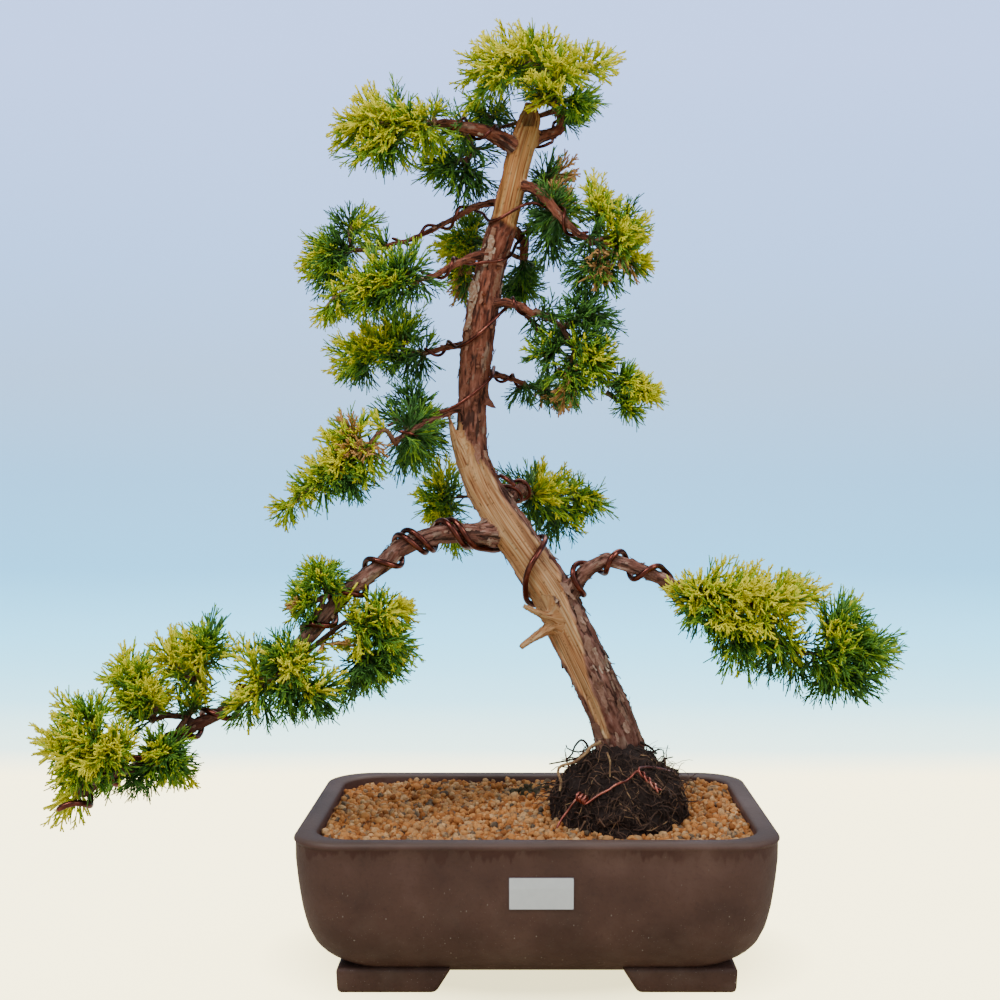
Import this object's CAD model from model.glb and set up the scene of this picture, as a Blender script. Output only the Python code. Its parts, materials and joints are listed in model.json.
# Golden Chinese juniper bonsai with wired limbs, in a clay pot. Metres, +Z up, front at -Y.
import json
import math
import random

import bpy
from mathutils import Euler, Matrix, Vector, noise
from mathutils.bvhtree import BVHTree
from mathutils.kdtree import KDTree


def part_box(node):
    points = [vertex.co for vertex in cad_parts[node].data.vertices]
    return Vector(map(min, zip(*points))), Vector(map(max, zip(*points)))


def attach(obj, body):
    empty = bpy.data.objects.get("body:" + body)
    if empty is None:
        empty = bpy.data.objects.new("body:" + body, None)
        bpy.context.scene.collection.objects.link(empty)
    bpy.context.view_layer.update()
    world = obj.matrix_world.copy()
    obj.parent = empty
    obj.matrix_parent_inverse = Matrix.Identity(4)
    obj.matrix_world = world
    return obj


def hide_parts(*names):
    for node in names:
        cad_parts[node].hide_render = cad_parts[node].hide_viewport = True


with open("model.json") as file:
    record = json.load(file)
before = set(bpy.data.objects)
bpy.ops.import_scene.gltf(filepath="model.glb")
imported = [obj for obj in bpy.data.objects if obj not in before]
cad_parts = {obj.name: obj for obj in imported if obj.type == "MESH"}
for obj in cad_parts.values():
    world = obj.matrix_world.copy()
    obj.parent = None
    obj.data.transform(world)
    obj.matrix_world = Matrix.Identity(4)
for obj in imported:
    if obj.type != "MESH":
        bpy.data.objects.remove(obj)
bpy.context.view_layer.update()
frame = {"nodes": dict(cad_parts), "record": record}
nodes = frame["nodes"]
potLow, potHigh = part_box("pot")
home = Vector(((potLow.x + potHigh.x) / 2, (potLow.y + potHigh.y) / 2, 0.0))  # the pot's middle
fullTurn = 6.283


# small helpers for objects
def clearSelection():
    active = bpy.context.object
    if active and active.mode != "OBJECT":
        bpy.ops.object.mode_set(mode="OBJECT")
    for thing in bpy.context.selected_objects:
        thing.select_set(False)


def pick(*things):
    clearSelection()
    for thing in things:
        thing.select_set(True)
    bpy.context.view_layer.objects.active = things[0]
    return things[0]


def editAll(thing, kind="VERT"):
    pick(thing)
    bpy.ops.object.mode_set(mode="EDIT")
    bpy.ops.mesh.select_mode(type=kind)
    bpy.ops.mesh.select_all(action="SELECT")


def backToObject():
    bpy.ops.object.mode_set(mode="OBJECT")


def linked(name, data):
    thing = bpy.data.objects.new(name, data)
    bpy.context.collection.objects.link(thing)
    return thing


def modify(thing, kind, **settings):
    modifier = thing.modifiers.new(kind.lower(), kind)
    for name, value in settings.items():
        setattr(modifier, name, value)


def applyModifiers(thing):
    pick(thing)
    for modifier in list(thing.modifiers):
        bpy.ops.object.modifier_apply(modifier=modifier.name)


def settle(thing):
    # the place goes into the mesh, and the object back to the origin
    pick(thing)
    bpy.ops.object.transform_apply(location=True, rotation=True, scale=True)
    return thing


def joinAll(things, name):
    pick(*things)
    if len(things) > 1:
        bpy.ops.object.join()
    joined = bpy.context.object
    joined.name = joined.data.name = name
    return settle(joined)


def freeCopy(nodeName, name):
    # a merged copy of a CAD node's skin, to be made finer
    twin = linked(name, nodes[nodeName].data.copy())
    editAll(twin)
    bpy.ops.mesh.remove_doubles(threshold=0.00001)
    backToObject()
    return twin


def standing(point, way):
    # puts a shape at the point, with its +Z along the way
    return Matrix.Translation(point) @ way.to_track_quat("Z", "Y").to_matrix().to_4x4()


def stray(draw, reach):
    return Vector([draw.uniform(-reach, reach) for _ in range(3)])


def searchTree(*things):
    points, faces = [], []
    for thing in things:
        first = len(points)
        points += [vertex.co.copy() for vertex in thing.data.vertices]
        faces += [[first + i for i in face.vertices] for face in thing.data.polygons]
    return BVHTree.FromPolygons(points, faces)


def dress(piece, material, slotName, *stoodFor):
    piece.data.materials.clear()
    piece.data.materials.append(material)
    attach(piece, "root")
    if stoodFor:
        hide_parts(*stoodFor)


def writeValues(mesh, name, values, kind="FLOAT"):
    layer = mesh.attributes.get(name) or mesh.attributes.new(name, kind, "POINT")
    layer.data.foreach_set("vector" if kind == "FLOAT_VECTOR" else "value", values)


# small helpers for materials
def colour(red, green, blue):
    # a colour picked by eye as 0 to 255, made linear
    def one(value):
        value /= 255
        return value / 12.92 if value <= 0.04045 else ((value + 0.055) / 1.055) ** 2.4
    return (one(red), one(green), one(blue), 1.0)


def add(tree, kind, sockets=None, **settings):
    node = tree.nodes.new(kind)
    for name, value in settings.items():
        setattr(node, name, value)
    for name, value in (sockets or {}).items():
        if isinstance(value, bpy.types.NodeSocket):
            tree.links.new(value, node.inputs[name])
        else:
            node.inputs[name].default_value = value
    return node


def ramp(tree, factor, *stops):
    # a stop is its place with red, green and blue as 0 to 255, or with one linear colour
    node = add(tree, "ShaderNodeValToRGB", {"Fac": factor})
    ends = node.color_ramp.elements
    while len(ends) < len(stops):
        ends.new(0.5)
    for end, (place, *tint) in zip(ends, stops):
        end.position = place
        end.color = colour(*tint) if len(tint) == 3 else tint[0]
    return node.outputs["Color"]


def grey(value):
    return (value, value, value, 1.0)


def mix(tree, factor, first, second, blend="MIX"):
    node = add(tree, "ShaderNodeMix", data_type="RGBA", blend_type=blend)
    for index, value in ((0, factor), (6, first), (7, second)):
        if isinstance(value, bpy.types.NodeSocket):
            tree.links.new(value, node.inputs[index])
        else:
            node.inputs[index].default_value = value
    return node.outputs[2]


def maths(tree, operation, first, second=0.5, third=0.0, clamp=False):
    node = add(tree, "ShaderNodeMath", operation=operation, use_clamp=clamp)
    for index, value in ((0, first), (1, second), (2, third)):
        if isinstance(value, bpy.types.NodeSocket):
            tree.links.new(value, node.inputs[index])
        else:
            node.inputs[index].default_value = value
    return node.outputs[0]


def times(tree, first, second):
    return maths(tree, "MULTIPLY", first, second)


def wash(tree, base, mask, strength, tint):
    # lays a tint over the base where the mask says
    return mix(tree, times(tree, mask, strength), base, tint)


def sway(tree, base, cloud, amount):
    # moves the base up and down with the cloud
    return maths(tree, "MULTIPLY_ADD", maths(tree, "SUBTRACT", cloud, 0.5), amount, base)


def spread(tree, value, low, high, toLow=0.0, toHigh=1.0):
    node = add(tree, "ShaderNodeMapRange", {"Value": value, "From Min": low, "From Max": high,
                                            "To Min": toLow, "To Max": toHigh})
    return node.outputs["Result"]


def newMaterial(name, **values):
    material = bpy.data.materials.new(name)
    material.use_nodes = True
    tree = material.node_tree
    shader = tree.nodes["Principled BSDF"]
    for socket, value in values.items():
        shader.inputs[socket.replace("_", " ")].default_value = value
    return material, tree, shader


def connect(tree, shader, tint=None, rough=None, height=None, strength=0.4, distance=0.0005):
    if tint is not None:
        tree.links.new(tint, shader.inputs["Base Color"])
    if rough is not None:
        tree.links.new(rough, shader.inputs["Roughness"])
    if height is not None:
        bump = add(tree, "ShaderNodeBump", {"Height": height, "Strength": strength, "Distance": distance})
        tree.links.new(bump.outputs["Normal"], shader.inputs["Normal"])


def newGroup(name, takes, gives):
    group = bpy.data.node_groups.new(name, "ShaderNodeTree")
    for label, kind, value in takes:
        socket = group.interface.new_socket(label, in_out="INPUT", socket_type=kind)
        if value is not None:
            socket.default_value = value
    group.interface.new_socket(gives, in_out="OUTPUT", socket_type="NodeSocketFloat")
    return group, group.nodes.new("NodeGroupInput").outputs, group.nodes.new("NodeGroupOutput").inputs


def makeMottleGroup():
    # soft patches between 0 and 1, sharper as contrast grows
    group, takes, gives = newGroup("mottle", (
        ("Vector", "NodeSocketVector", None), ("Scale", "NodeSocketFloat", 100.0),
        ("Detail", "NodeSocketFloat", 4.0), ("Contrast", "NodeSocketFloat", 1.0)), "Amount")
    cloud = add(group, "ShaderNodeTexNoise", {
        "Vector": takes["Vector"], "Scale": takes["Scale"], "Detail": takes["Detail"]})
    centred = maths(group, "SUBTRACT", cloud.outputs["Fac"], 0.5)
    sharper = times(group, centred, takes["Contrast"])
    group.links.new(maths(group, "ADD", sharper, 0.5, clamp=True), gives["Amount"])
    return group


def makeSpeckGroup():
    # separate round specks; only some of the cells hold one
    group, takes, gives = newGroup("specks", (
        ("Vector", "NodeSocketVector", None), ("Scale", "NodeSocketFloat", 300.0),
        ("Size", "NodeSocketFloat", 0.25), ("Share", "NodeSocketFloat", 0.3)), "Mask")
    cells = add(group, "ShaderNodeTexVoronoi", {"Vector": takes["Vector"], "Scale": takes["Scale"]})
    inside = maths(group, "LESS_THAN", cells.outputs["Distance"], takes["Size"])
    chosen = add(group, "ShaderNodeSeparateColor", {"Color": cells.outputs["Color"]})
    kept = maths(group, "LESS_THAN", chosen.outputs[0], takes["Share"])
    group.links.new(times(group, inside, kept), gives["Mask"])
    return group


mottleGroup = makeMottleGroup()
speckGroup = makeSpeckGroup()


def mottle(tree, vector, scale, contrast=1.0, detail=4.0):
    node = add(tree, "ShaderNodeGroup", node_tree=mottleGroup)
    tree.links.new(vector, node.inputs["Vector"])
    for label, value in (("Scale", scale), ("Contrast", contrast), ("Detail", detail)):
        node.inputs[label].default_value = value
    return node.outputs["Amount"]


def specks(tree, vector, scale, size, share):
    node = add(tree, "ShaderNodeGroup", node_tree=speckGroup)
    tree.links.new(vector, node.inputs["Vector"])
    for label, value in (("Scale", scale), ("Size", size), ("Share", share)):
        node.inputs[label].default_value = value
    return node.outputs["Mask"]


def objectPlace(tree):
    return add(tree, "ShaderNodeTexCoord").outputs["Object"]


def stretched(tree, vector, upright):
    node = add(tree, "ShaderNodeMapping", {"Vector": vector, "Scale": (1, 1, upright)})
    return node.outputs["Vector"]


def apart(tree, vector):
    return add(tree, "ShaderNodeSeparateXYZ", {"Vector": vector}).outputs


def ownValue(tree, name, output="Fac"):
    return add(tree, "ShaderNodeAttribute", attribute_name=name).outputs[output]


# camera, light and floor
view = {"place": (-0.005, -1.046, 0.333), "lens": 54.47, "shift": (-0.029, -0.030)}


def seen(across, down, depth):
    # the place at this depth that the front view shows there, on a view 1000 units wide
    place = Vector(view["place"])
    unit = (depth - place.y) * 0.036 / view["lens"]
    return home + Vector((place.x + (across - 529) * unit, depth, place.z - (down - 470) * unit))


def makeCamera():
    data = bpy.data.cameras.new("camera")
    camera = linked("camera", data)
    data.sensor_width = 36.0
    data.lens = view["lens"]
    data.shift_x, data.shift_y = view["shift"]
    data.clip_start = 0.05
    camera.location = home + Vector(view["place"])
    camera.rotation_euler = (math.pi / 2, 0, 0)
    bpy.context.scene.camera = camera


studio = {
    "lamps": (  # place, size, power
        ((-0.9, -1.3, 1.7), 1.1, 56.0),
        ((1.3, -1.2, 1.2), 1.4, 24.0),
        ((0.2, 0.9, 1.9), 1.4, 20.0),
    ),
    "lampTint": (1.0, 0.96, 0.91),
    "sky": (1.0, 0.94, 0.88, 1.0),
    "skyStrength": 0.80,
    "floorTint": (190, 187, 183),
    "wallTint": (157, 171, 182),
    # the sheet's own glow as the camera sees it, from the floor up the wall
    "glowSteps": (
        (0.000, 0.98, 0.87, 0.47), (0.048, 0.42, 0.62, 0.56), (0.167, 0.17, 0.47, 0.58),
        (0.344, 0.07, 0.36, 0.55), (0.452, 0.04, 0.23, 0.40), (0.582, 0.06, 0.19, 0.335),
        (0.700, 0.10, 0.18, 0.30), (0.800, 0.11, 0.19, 0.365), (0.975, 0.145, 0.21, 0.41)),
    "glow": 5.35,
    "bounce": 0.42,  # how little of the glow lights the tree
    "underPot": 0.45,
    "shade": (0.155, 0.112),  # half of the darker patch under the pot
    "aim": (0, 0, 0.28),
    "sheetSize": (9.0, 3.6, 1.0),
    "sheetShift": (0, -0.4, -0.0002),
    "bendRadius": 0.9,
    "bendSteps": 12,
    "wallHeight": 4.0,
}


def makeLamps():
    for place, size, power in studio["lamps"]:
        bpy.ops.object.light_add(type="AREA", location=home + Vector(place))
        lamp = bpy.context.object
        lamp.data.size = size
        lamp.data.energy = power
        lamp.data.color = studio["lampTint"]
        aim = home + Vector(studio["aim"]) - lamp.location
        lamp.rotation_euler = aim.to_track_quat("-Z", "Y").to_euler()
    world = bpy.data.worlds.new("studio")
    bpy.context.scene.world = world
    world.use_nodes = True
    background = world.node_tree.nodes["Background"]
    background.inputs["Color"].default_value = studio["sky"]
    background.inputs["Strength"].default_value = studio["skyStrength"]


def makeSheet():
    # one sheet that bends from the floor up into the wall
    bpy.ops.mesh.primitive_plane_add(size=1, location=(0, 0, 0))
    floor = bpy.context.object
    floor.name = "floorSheet"
    editAll(floor, "EDGE")
    bpy.ops.transform.resize(value=studio["sheetSize"])
    bpy.ops.transform.translate(value=studio["sheetShift"])
    backToObject()
    back = max(vertex.co.y for vertex in floor.data.vertices)
    for edge in floor.data.edges:
        edge.select = all(floor.data.vertices[i].co.y > back - 0.1 for i in edge.vertices)
    bpy.ops.object.mode_set(mode="EDIT")
    steps = studio["bendSteps"]
    run = studio["bendRadius"] * math.pi / 2 / steps
    for step in range(steps):
        turn = math.pi / 2 * (step + 0.5) / steps
        bpy.ops.mesh.extrude_region_move(TRANSFORM_OT_translate={
            "value": (0, run * math.cos(turn), run * math.sin(turn))})
    bpy.ops.mesh.extrude_region_move(TRANSFORM_OT_translate={"value": (0, 0, studio["wallHeight"])})
    backToObject()
    bpy.ops.object.shade_smooth()
    floor.data.materials.append(paperMaterial())


def paperMaterial():
    material, tree, shader = newMaterial("floorPaper", Roughness=0.9, Specular_IOR_Level=0.15)
    place = apart(tree, objectPlace(tree))
    cloud = mottle(tree, objectPlace(tree), 1.6, 0.5)
    # the way from the floor up the wall
    back = times(tree, maths(tree, "SUBTRACT", place["Y"], 0.6, clamp=True), 0.8)
    beyond = times(tree, spread(tree, place["Y"], 1.6, 2.2), 0.48)
    way = maths(tree, "ADD", maths(tree, "ADD", back, beyond), place["Z"])
    way = sway(tree, way, cloud, 0.10)
    rise = spread(tree, way, 0.0, 2.6)
    tint = ramp(tree, rise, (0.05, *studio["floorTint"]), (0.45, *studio["wallTint"]))
    connect(tree, shader, tint)
    shine = ramp(tree, rise, *[(step, (*glow, 1.0)) for step, *glow in studio["glowSteps"]])
    tree.links.new(shine, shader.inputs["Emission Color"])
    halfX, halfY = studio["shade"]
    centred = add(tree, "ShaderNodeMapping", {
        "Vector": objectPlace(tree), "Location": (-home.x / halfX, -home.y / halfY, 0.0),
        "Scale": (1 / halfX, 1 / halfY, 1.0)}).outputs["Vector"]
    around = add(tree, "ShaderNodeVectorMath", {0: centred}, operation="LENGTH").outputs["Value"]
    dim = spread(tree, around, 0.70, 1.25, studio["underPot"], 1.0)
    seenDirectly = add(tree, "ShaderNodeLightPath").outputs["Is Camera Ray"]
    power = maths(tree, "MULTIPLY_ADD", seenDirectly, studio["glow"] - studio["bounce"], studio["bounce"])
    tree.links.new(times(tree, power, dim), shader.inputs["Emission Strength"])
    return material


makeCamera()
makeLamps()
makeSheet()
print("camera and studio ready")


# the middle lines of the trunk and limbs from the pot's middle: x, y, z and radius, in millimetres
limbs = {
    "trunk": (
        (58, 0, 116, 16.0), (58, 0, 142, 17.2), (51, 0, 166, 15.2), (41, 0, 189, 14.8), (30, 2, 211, 14.8),
        (12, 4, 246, 15.0), (-9, 4, 277, 13.6), (-23, 4, 297, 13.5), (-38, 3, 322, 12.4),
        (-45, 2, 344, 11.3), (-44, 0, 370, 9.8), (-42, 0, 405, 10.8), (-39, 1, 428, 10.9),
        (-36, 2, 451, 10.7), (-31, 3, 477, 10.1), (-22, 4, 506, 9.7), (-14, 3, 540, 9.4), (-8, 2, 563, 9.0),
        (-4, 2, 577, 8.0), (-3, 2, 587, 4.0)),
    "lowLeft": (
        (-30, 0, 289, 10.0), (-46, -9, 290, 7.4), (-66, -14, 289, 7.0), (-82, -20, 285, 6.8),
        (-94, -22, 279, 6.6), (-104, -24, 269, 6.4), (-129, -28, 250, 6.0), (-150, -32, 224, 5.3),
        (-168, -34, 206, 5.0), (-190, -34, 186, 4.8), (-212, -34, 170, 4.6), (-230, -34, 161, 4.4),
        (-247, -52, 147, 4.0), (-265, -66, 138, 3.6), (-278, -79, 135, 3.2), (-288, -88, 127, 2.8)),
    "lowLeftTwig": (
        (-226, -34, 162, 3.0), (-236, -33, 168, 3.0), (-247, -34, 169, 2.6), (-257, -36, 166, 2.3)),
    "right": (
        (18, 0, 240, 8.0), (28, -5, 257, 6.2), (37, -10, 266, 5.6), (48, -15, 272, 5.5),
        (64, -18, 268, 5.2), (86, -22, 259, 4.5), (101, -23, 251, 4.0), (114, -24, 245, 3.4)),
    "rightTwig": (
        (82, -21, 259, 3.0), (92, -10, 248, 2.8), (112, 2, 230, 2.5), (140, 6, 214, 2.2),
        (166, -2, 208, 2.0)),
    "back": (
        (-27, 6, 306, 8.0), (-19, 22, 314, 5.6), (-13, 36, 319, 5.0), (-8, 50, 318, 4.2),
        (-3, 60, 315, 3.4)),
    "jinLeft": (
        (-44, 0, 375, 5.0), (-56, -6, 375, 3.2), (-68, -12, 369, 2.7), (-82, -18, 361, 2.4),
        (-96, -23, 353, 2.1)),
    "leftLow": (
        (-42, 0, 418, 5.0), (-53, 6, 420, 3.0), (-66, 12, 418, 2.6), (-80, 16, 414, 2.3)),
    "leftMid": (
        (-32, 0, 483, 5.0), (-45, -9, 479, 3.2), (-57, -17, 472, 2.8), (-70, -21, 464, 2.5),
        (-82, -23, 461, 2.2)),
    "leftHigh": (
        (-18, 4, 517, 5.0), (-30, 10, 520, 3.3), (-44, 13, 517, 2.9), (-58, 15, 509, 2.6),
        (-74, 16, 501, 2.5), (-90, 16, 494, 2.3), (-106, 15, 490, 2.2)),
    "crownLeft": (
        (-12, 0, 554, 7.0), (-24, -5, 561, 5.8), (-36, -10, 565, 4.8), (-50, -14, 567, 4.4),
        (-63, -16, 569, 3.8), (-74, -18, 566, 3.2)),
    "apex": (
        (-6, 3, 558, 6.0), (3, 8, 565, 4.6), (12, 9, 568, 4.2), (18, 8, 572, 4.0), (17, 6, 580, 3.8),
        (12, 5, 590, 3.3)),
    "rightHigh": (
        (-14, 2, 531, 5.0), (-2, -4, 527, 4.0), (7, -8, 519, 3.7), (14, -10, 510, 3.5), (21, -12, 501, 3.2),
        (29, -13, 494, 2.8), (38, -14, 490, 2.4)),
    "behind": (
        (-22, 6, 500, 5.5), (-14, 20, 501, 4.2), (-8, 30, 494, 3.8), (-9, 38, 484, 3.4)),
    "rightMid": (
        (-34, 0, 447, 5.0), (-21, -7, 448, 3.4), (-10, -11, 445, 3.2), (0, -15, 438, 2.8)),
    "rightMidTwig": (
        (-12, -10, 445, 2.5), (2, 6, 430, 2.3), (22, 12, 412, 2.0), (42, 2, 398, 1.8), (50, -6, 393, 1.6)),
    "rightLow": (
        (-41, 3, 402, 5.0), (-29, 12, 400, 3.0), (-18, 18, 397, 2.6), (-7, 23, 394, 2.3)),
    "spike": (
        (-40, 0, 316, 8.5), (-50, -5, 338, 6.2), (-57, -7, 358, 3.4), (-60, -7, 371, 0.8)),
    "stubUp": (
        (14, -3, 229, 6.0), (2, -13, 235, 3.4), (-9, -20, 241, 2.4)),
    "stubDown": (
        (10, -3, 225, 6.0), (-3, -16, 218, 3.8), (-11, -22, 213, 3.0)),
}

trunkLook = {
    "voxel": 0.0012,
    "softening": 5,
    "bareLimbs": ("spike", "stubUp", "stubDown"),
    # the strip of bare wood on the front: height, its left edge, its right edge
    "strip": (
        (0.150, 0.047, 0.050), (0.170, 0.037, 0.043), (0.189, 0.0258, 0.0354), (0.217, 0.010, 0.0296),
        (0.240, -0.001, 0.0225), (0.263, -0.013, 0.0145), (0.282, -0.027, 0.002), (0.299, -0.041, -0.0135),
        (0.326, -0.055, -0.0295), (0.345, -0.060, -0.040), (0.356, -0.060, -0.050),
    ),
    "topStarts": 0.503,
    # how high each part of the relief stands
    "bark": {"broad": 0.00042, "fine": 0.00028, "groove": -0.00100, "plate": 0.00055},
    "wood": {"sunk": -0.0006, "fibre": 0.00018, "flute": 0.00026, "split": -0.0006},
    "lip": 0.0007,
    "fullFrom": 0.0075,  # the radius from which the relief has its full height
    # the broken top: its hollow's place across and up, its half size, its depth, and the ragged edge
    "hollow": ((-0.005, 0.574), (0.0034, 0.0055), 0.0032, 0.0016),
    "stripEdge": 0.0016,
}


def smoothRoute(points, spacing):
    # a curve through the points, read at even steps; the fourth number is the radius
    knots = [Vector(point) for point in points]
    knots = [2 * knots[0] - knots[1]] + knots + [2 * knots[-1] - knots[-2]]
    route = []
    for before, start, end, after in zip(knots, knots[1:], knots[2:], knots[3:]):
        steps = max(1, round((end - start).length / spacing))
        for step in range(steps):
            t = step / steps
            route.append(0.5 * (2 * start + (end - before) * t
                                + (2 * before - 5 * start + 4 * end - after) * t * t
                                + (3 * start - before - 3 * end + after) * t ** 3))
    route.append(knots[-2])
    return route


def fade(value, low, high):
    # 0 below low, 1 above high, and smooth between
    t = min(1.0, max(0.0, (value - low) / (high - low)))
    return t * t * (3 - 2 * t)


def edgesAt(height):
    rows = trunkLook["strip"]
    if height < rows[0][0] or height > rows[-1][0]:
        return None
    for low, high in zip(rows, rows[1:]):
        if height <= high[0]:
            t = (height - low[0]) / (high[0] - low[0])
            return low[1] + (high[1] - low[1]) * t, low[2] + (high[2] - low[2]) * t
    return None


def bareShare(name, point, radial, radius):
    # how far a place on the skin is bare wood
    if name in trunkLook["bareLimbs"]:
        return 1.0
    if name != "trunk":
        return 0.0
    wobble = 0.0022 * noise.noise(Vector((point.x * 40, 3.0, point.z * 90)))
    front = fade(-radial.y / max(radius, 0.001), -0.25, 0.15)
    topStarts = trunkLook["topStarts"]
    top = fade(point.z + 2.5 * wobble + 0.35 * radial.x, topStarts, topStarts + 0.006)
    side = fade((radial.x * 0.75 - radial.y) / max(radius, 0.001) + 30 * wobble, -0.45, -0.2)
    edges = edgesAt(point.z)
    strip = 0.0
    if edges:
        width = trunkLook["stripEdge"]
        strip = fade(point.x + wobble, edges[0] - width, edges[0] + width)
        strip *= 1 - fade(point.x + wobble, edges[1] - width, edges[1] + width)
        strip *= front
    return max(strip, top * side)


def readLimbs():
    # places along every limb with their radius and direction; a limb's root inside the trunk is left out
    knots = []
    core = KDTree(2000)
    for name, points in limbs.items():
        route = smoothRoute([[value / 1000 for value in point] for point in points], 0.002)
        run = 0.0
        for index, knot in enumerate(route):
            after = route[min(index + 1, len(route) - 1)].xyz - route[max(index - 1, 0)].xyz
            if index:
                run += (knot.xyz - route[index - 1].xyz).length
            if name == "trunk":
                core.insert(knot.xyz, len(knots))
            elif core.find(knot.xyz)[2] < 0.85 * knots[core.find(knot.xyz)[1]][2]:
                continue
            knots.append((name, knot.xyz, knot.w, after.normalized(), run))
        if name == "trunk":
            core.balance()
    finder = KDTree(len(knots))
    for index, knot in enumerate(knots):
        finder.insert(knot[1], index)
    finder.balance()
    return knots, finder


knots, finder = readLimbs()


def streaks(skin, across, along, start=0.0):
    # noise drawn out along a limb; skin is a place round it and the run along it
    x, y, run = skin
    return noise.noise(Vector((x * across, y * across, run * along + start)))


def makeTrunk():
    trunk = freeCopy("trunk", "trunkBark")
    modify(trunk, "REMESH", mode="VOXEL", voxel_size=trunkLook["voxel"])
    modify(trunk, "SMOOTH", factor=0.5, iterations=trunkLook["softening"])
    applyModifiers(trunk)

    bark, wood = trunkLook["bark"], trunkLook["wood"]
    (hollowX, hollowZ), (wide, high), deep, ragged = trunkLook["hollow"]
    bare, grain, depth = [], [], []
    normals = [vertex.normal.copy() for vertex in trunk.data.vertices]
    for vertex, normal in zip(trunk.data.vertices, normals):
        point = vertex.co - home
        name, centre, radius, along, run = min(
            (knots[found[1]] for found in finder.find_n(point, 8)),
            key=lambda knot: (point - knot[1]).length / knot[2])
        radial = point - centre
        radial -= along * radial.dot(along)
        side = along.cross(Vector((0, -1, 0))).normalized()
        angle = math.atan2(radial.dot(side), radial.dot(side.cross(along)))
        share = bareShare(name, point, radial, radius)
        if name == "trunk":
            run = point.z
        skin = (*Vector((math.cos(angle) * radius, math.sin(angle) * radius)), run)
        offset = 0.37 * (len(name) % 5)
        broad = streaks(skin, 170, 42, offset)
        barkRise = (bark["broad"] * broad + bark["fine"] * streaks(skin, 520, 120, offset)
                    + bark["groove"] * (1 - fade(abs(broad), 0.0, 0.07))
                    + bark["plate"] * fade(streaks(skin, 300, 95, 7), 0.12, 0.20))
        woodRise = (wood["sunk"] + wood["fibre"] * streaks(skin, 900, 18)
                    + wood["flute"] * streaks(skin, 230, 11, 3)
                    + wood["split"] * (1 - fade(abs(streaks(skin, 300, 12, 9)), 0.0, 0.030)))
        lip = 4 * share * (1 - share)
        size = min(1.0, radius / trunkLook["fullFrom"])
        rise = (barkRise * (1 - share) + woodRise * share + trunkLook["lip"] * lip) * size
        if name == "trunk" and point.z > 0.570:
            hollow = math.exp(-((point.x - hollowX) / wide) ** 2 - ((point.z - hollowZ) / high) ** 2)
            rise -= deep * hollow * fade(-radial.y, 0.0, 0.003)
            edge = noise.noise(Vector((point.x * 420, point.y * 420, 1.0)))
            rise += ragged * edge * fade(point.z, 0.578, 0.586)
        vertex.co += normal * rise
        bare.append(share)
        depth.append(rise / size)
        grain += skin
    writeValues(trunk.data, "bare", bare)
    writeValues(trunk.data, "rise", depth)
    writeValues(trunk.data, "grain", grain, "FLOAT_VECTOR")
    pick(trunk)
    bpy.ops.object.shade_smooth()
    return trunk


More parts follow.
